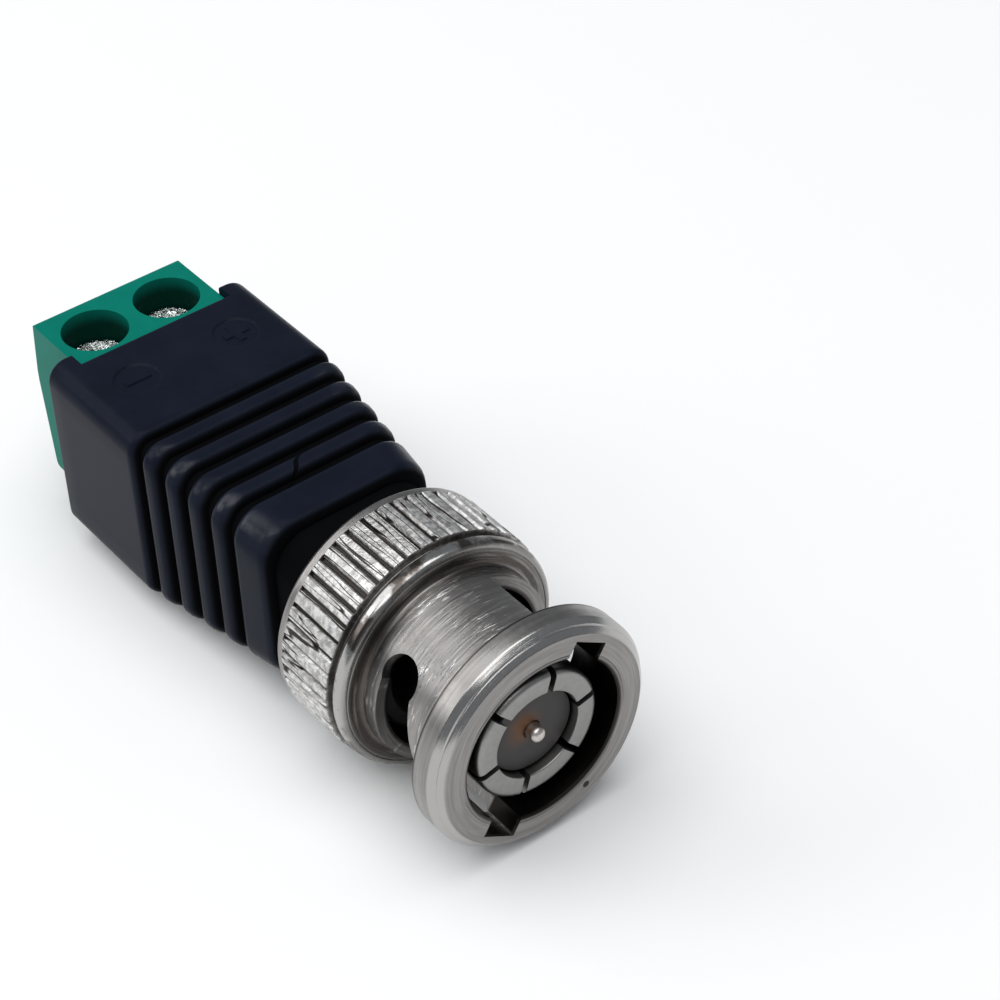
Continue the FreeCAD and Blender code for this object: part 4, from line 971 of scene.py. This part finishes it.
def screw_mesh(name, side):
    """A screw's outline of (r, z) carried round its own upright axis, with a slot and a short cross cut in
    its slightly dished head."""
    columns = 96
    profile = outline([
        (0.0, -1.9, 0.0), (0.75, -1.9, 0.0), (1.0, -1.6, 0.05), (1.0, LEDGE_TOP, 0.02),
        (1.9, LEDGE_TOP, 0.05), (1.9, SCREW_RIM, 0.1), (1.65, SCREW_RIM, 0.1), (0.8, 3.1, 0.6),
        (0.0, 3.05, 0.0),
    ])
    angle = np.linspace(0, 2 * math.pi, columns, endpoint=False)
    r, z = profile[:, :1], profile[:, 1:]
    points = place(POLE_X + r * np.cos(angle), side + r * np.sin(angle), z)
    blank = make_mesh(name, points, grid_faces(len(profile), columns, False, True), 32)
    cutters = [
        box_mesh(f"{name}_{kind}", (POLE_X - half_x, side - half_y, SLOT_FLOOR),
                 (POLE_X + half_x, side + half_y, SCREW_RIM + 0.5))
        for kind, half_x, half_y in (("slot", 0.27, 2.5), ("cross", 1.25, 0.25))
    ]
    return shade(cut_away(blank, cutters), 32)


def merged_copy(name, node, flat=1.0):
    """Piece with the node's own mesh, merged. Faces that turn by less than flat degrees become one."""
    mesh = frame["nodes"][node].data.copy()
    work = bmesh.new()
    work.from_mesh(mesh)
    bmesh.ops.remove_doubles(work, verts=work.verts, dist=1e-7)
    bmesh.ops.dissolve_limit(work, angle_limit=math.radians(flat), verts=work.verts, edges=work.edges)
    work.to_mesh(mesh)
    work.free()
    return add_piece(name, shade(mesh, 30), frame["nodes"][node]["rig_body"], slot_of[node], node)


for pole, side in (("plus", POLE_SIDE), ("minus", -POLE_SIDE)):
    screw = screw_mesh(f"screw_{pole}_head", side)
    screw = add_piece(f"screw_{pole}_turned", screw, f"clamp_screw_{pole}", "screw_steel", f"screw_{pole}")
    ease_edges(screw, 0.05, 2)
    ease_edges(merged_copy(f"cage_{pole}_pressed", f"cage_{pole}"), 0.08)
    ease_edges(merged_copy(f"contact_{pole}_stamped", f"contact_{pole}"), 0.05)


# Wave washer: a merged copy of the node with a mesh of its own. The real washer flattens against the body's
# flange as the nut is drawn forward.

wave = merged_copy("wave_washer_sprung", "wave_washer", 0.1)
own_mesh(wave)


# Insulator and centre pin

insulator = turned("insulator_bead", outline([
    (-1.1, 0.56, 0.03), (-1.1, 2.65, 0.08), (BARREL_END, 2.65, 0.1), (BARREL_END, 0.72, 0.0),
    (-1.6, 0.72, 0.0), (-1.6, 0.56, 0.0)]))
add_piece("insulator_turned", insulator, "plug", "insulation", "insulator")
pin = turned("pin_nose", outline([
    (-0.28, 0.0, 0.0), (-0.28, 0.5, 0.42), (-1.6, 0.5, 0.0), (-1.6, 0.675, 0.05),
    (BARREL_END, 0.675, 0.0), (BARREL_END, 0.95, 0.1), (-19.4, 0.95, 0.08), (-19.4, 0.6, 0.05),
    (-17.8, 0.6, 0.0), (-17.8, 0.0, 0.0)], 8), 96)
add_piece("centre_pin_turned", pin, "plug", "pin_metal", "centre_pin")


# Floor, light and camera

def stage_floor():
    """Pale floor: one flat square about the part."""
    mesh = bpy.data.meshes.new("floor")
    mesh.from_pydata([(-3, -3, 0), (3, -3, 0), (3, 3, 0), (-3, 3, 0)], [], [(0, 1, 2, 3)])
    floor = new_object("floor", mesh)
    made, _, shader = start_material("pale_floor", roughness=0.9)
    shader.inputs["Base Color"].default_value = (0.9, 0.9, 0.9, 1)
    shader.inputs["Specular IOR Level"].default_value = 0.0
    mesh.materials.append(made)


def add_softbox(name, spot, size, power):
    """Square area light that faces the point under the part's middle."""
    light = bpy.data.lights.new(name, "AREA")
    light.size = size
    light.energy = power
    lamp = new_object(name, light)
    tilt = math.acos(spot[2] / np.linalg.norm(spot))
    lamp.location = spot
    lamp.rotation_euler = (tilt, 0, math.atan2(spot[1], spot[0]) + math.pi / 2)


def add_camera():
    """Camera at the photograph's viewing angle: it looks back along its own axis, turned by its roll."""
    azimuth, elevation, roll = np.radians([53.53, 40.39, -2.37])
    spot = (0.102915, -0.06247, 0.11148)
    back = np.array([math.sin(azimuth) * math.cos(elevation), -math.cos(azimuth) * math.cos(elevation),
                     math.sin(elevation)])
    right = np.array([math.cos(azimuth), math.sin(azimuth), 0.0])
    up = np.cross(back, right)
    c, s = math.cos(roll), math.sin(roll)
    axes = np.array([c * right + s * up, c * up - s * right, back])
    view = bpy.data.cameras.new("camera")
    view.sensor_width = 36.0
    view.lens = 99.29
    view.clip_start = 0.01
    view.clip_end = 50.0
    camera = new_object("camera", view)
    matrix = np.eye(4)
    matrix[:3, :3] = axes.T
    matrix[:3, 3] = spot
    camera.matrix_world = matrix.T.tolist()
    bpy.context.scene.camera = camera


stage_floor()
add_softbox("top_softbox", (0.05, -0.1, 0.6), 0.7, 3.8)
add_softbox("left_softbox", (-0.38, -0.47, 0.3), 0.26, 0.66)
add_softbox("back_softbox", (-0.5, -0.28, 0.55), 0.4, 0.9)
add_camera()
world = bpy.data.worlds.new("studio")
world.use_nodes = True
sky = world.node_tree.nodes["Background"]
sky.inputs["Color"].default_value = (0.9, 0.95, 1.0, 1)
sky.inputs["Strength"].default_value = 0.28
bpy.context.scene.world = world
bpy.context.scene.view_settings.view_transform = "Standard"
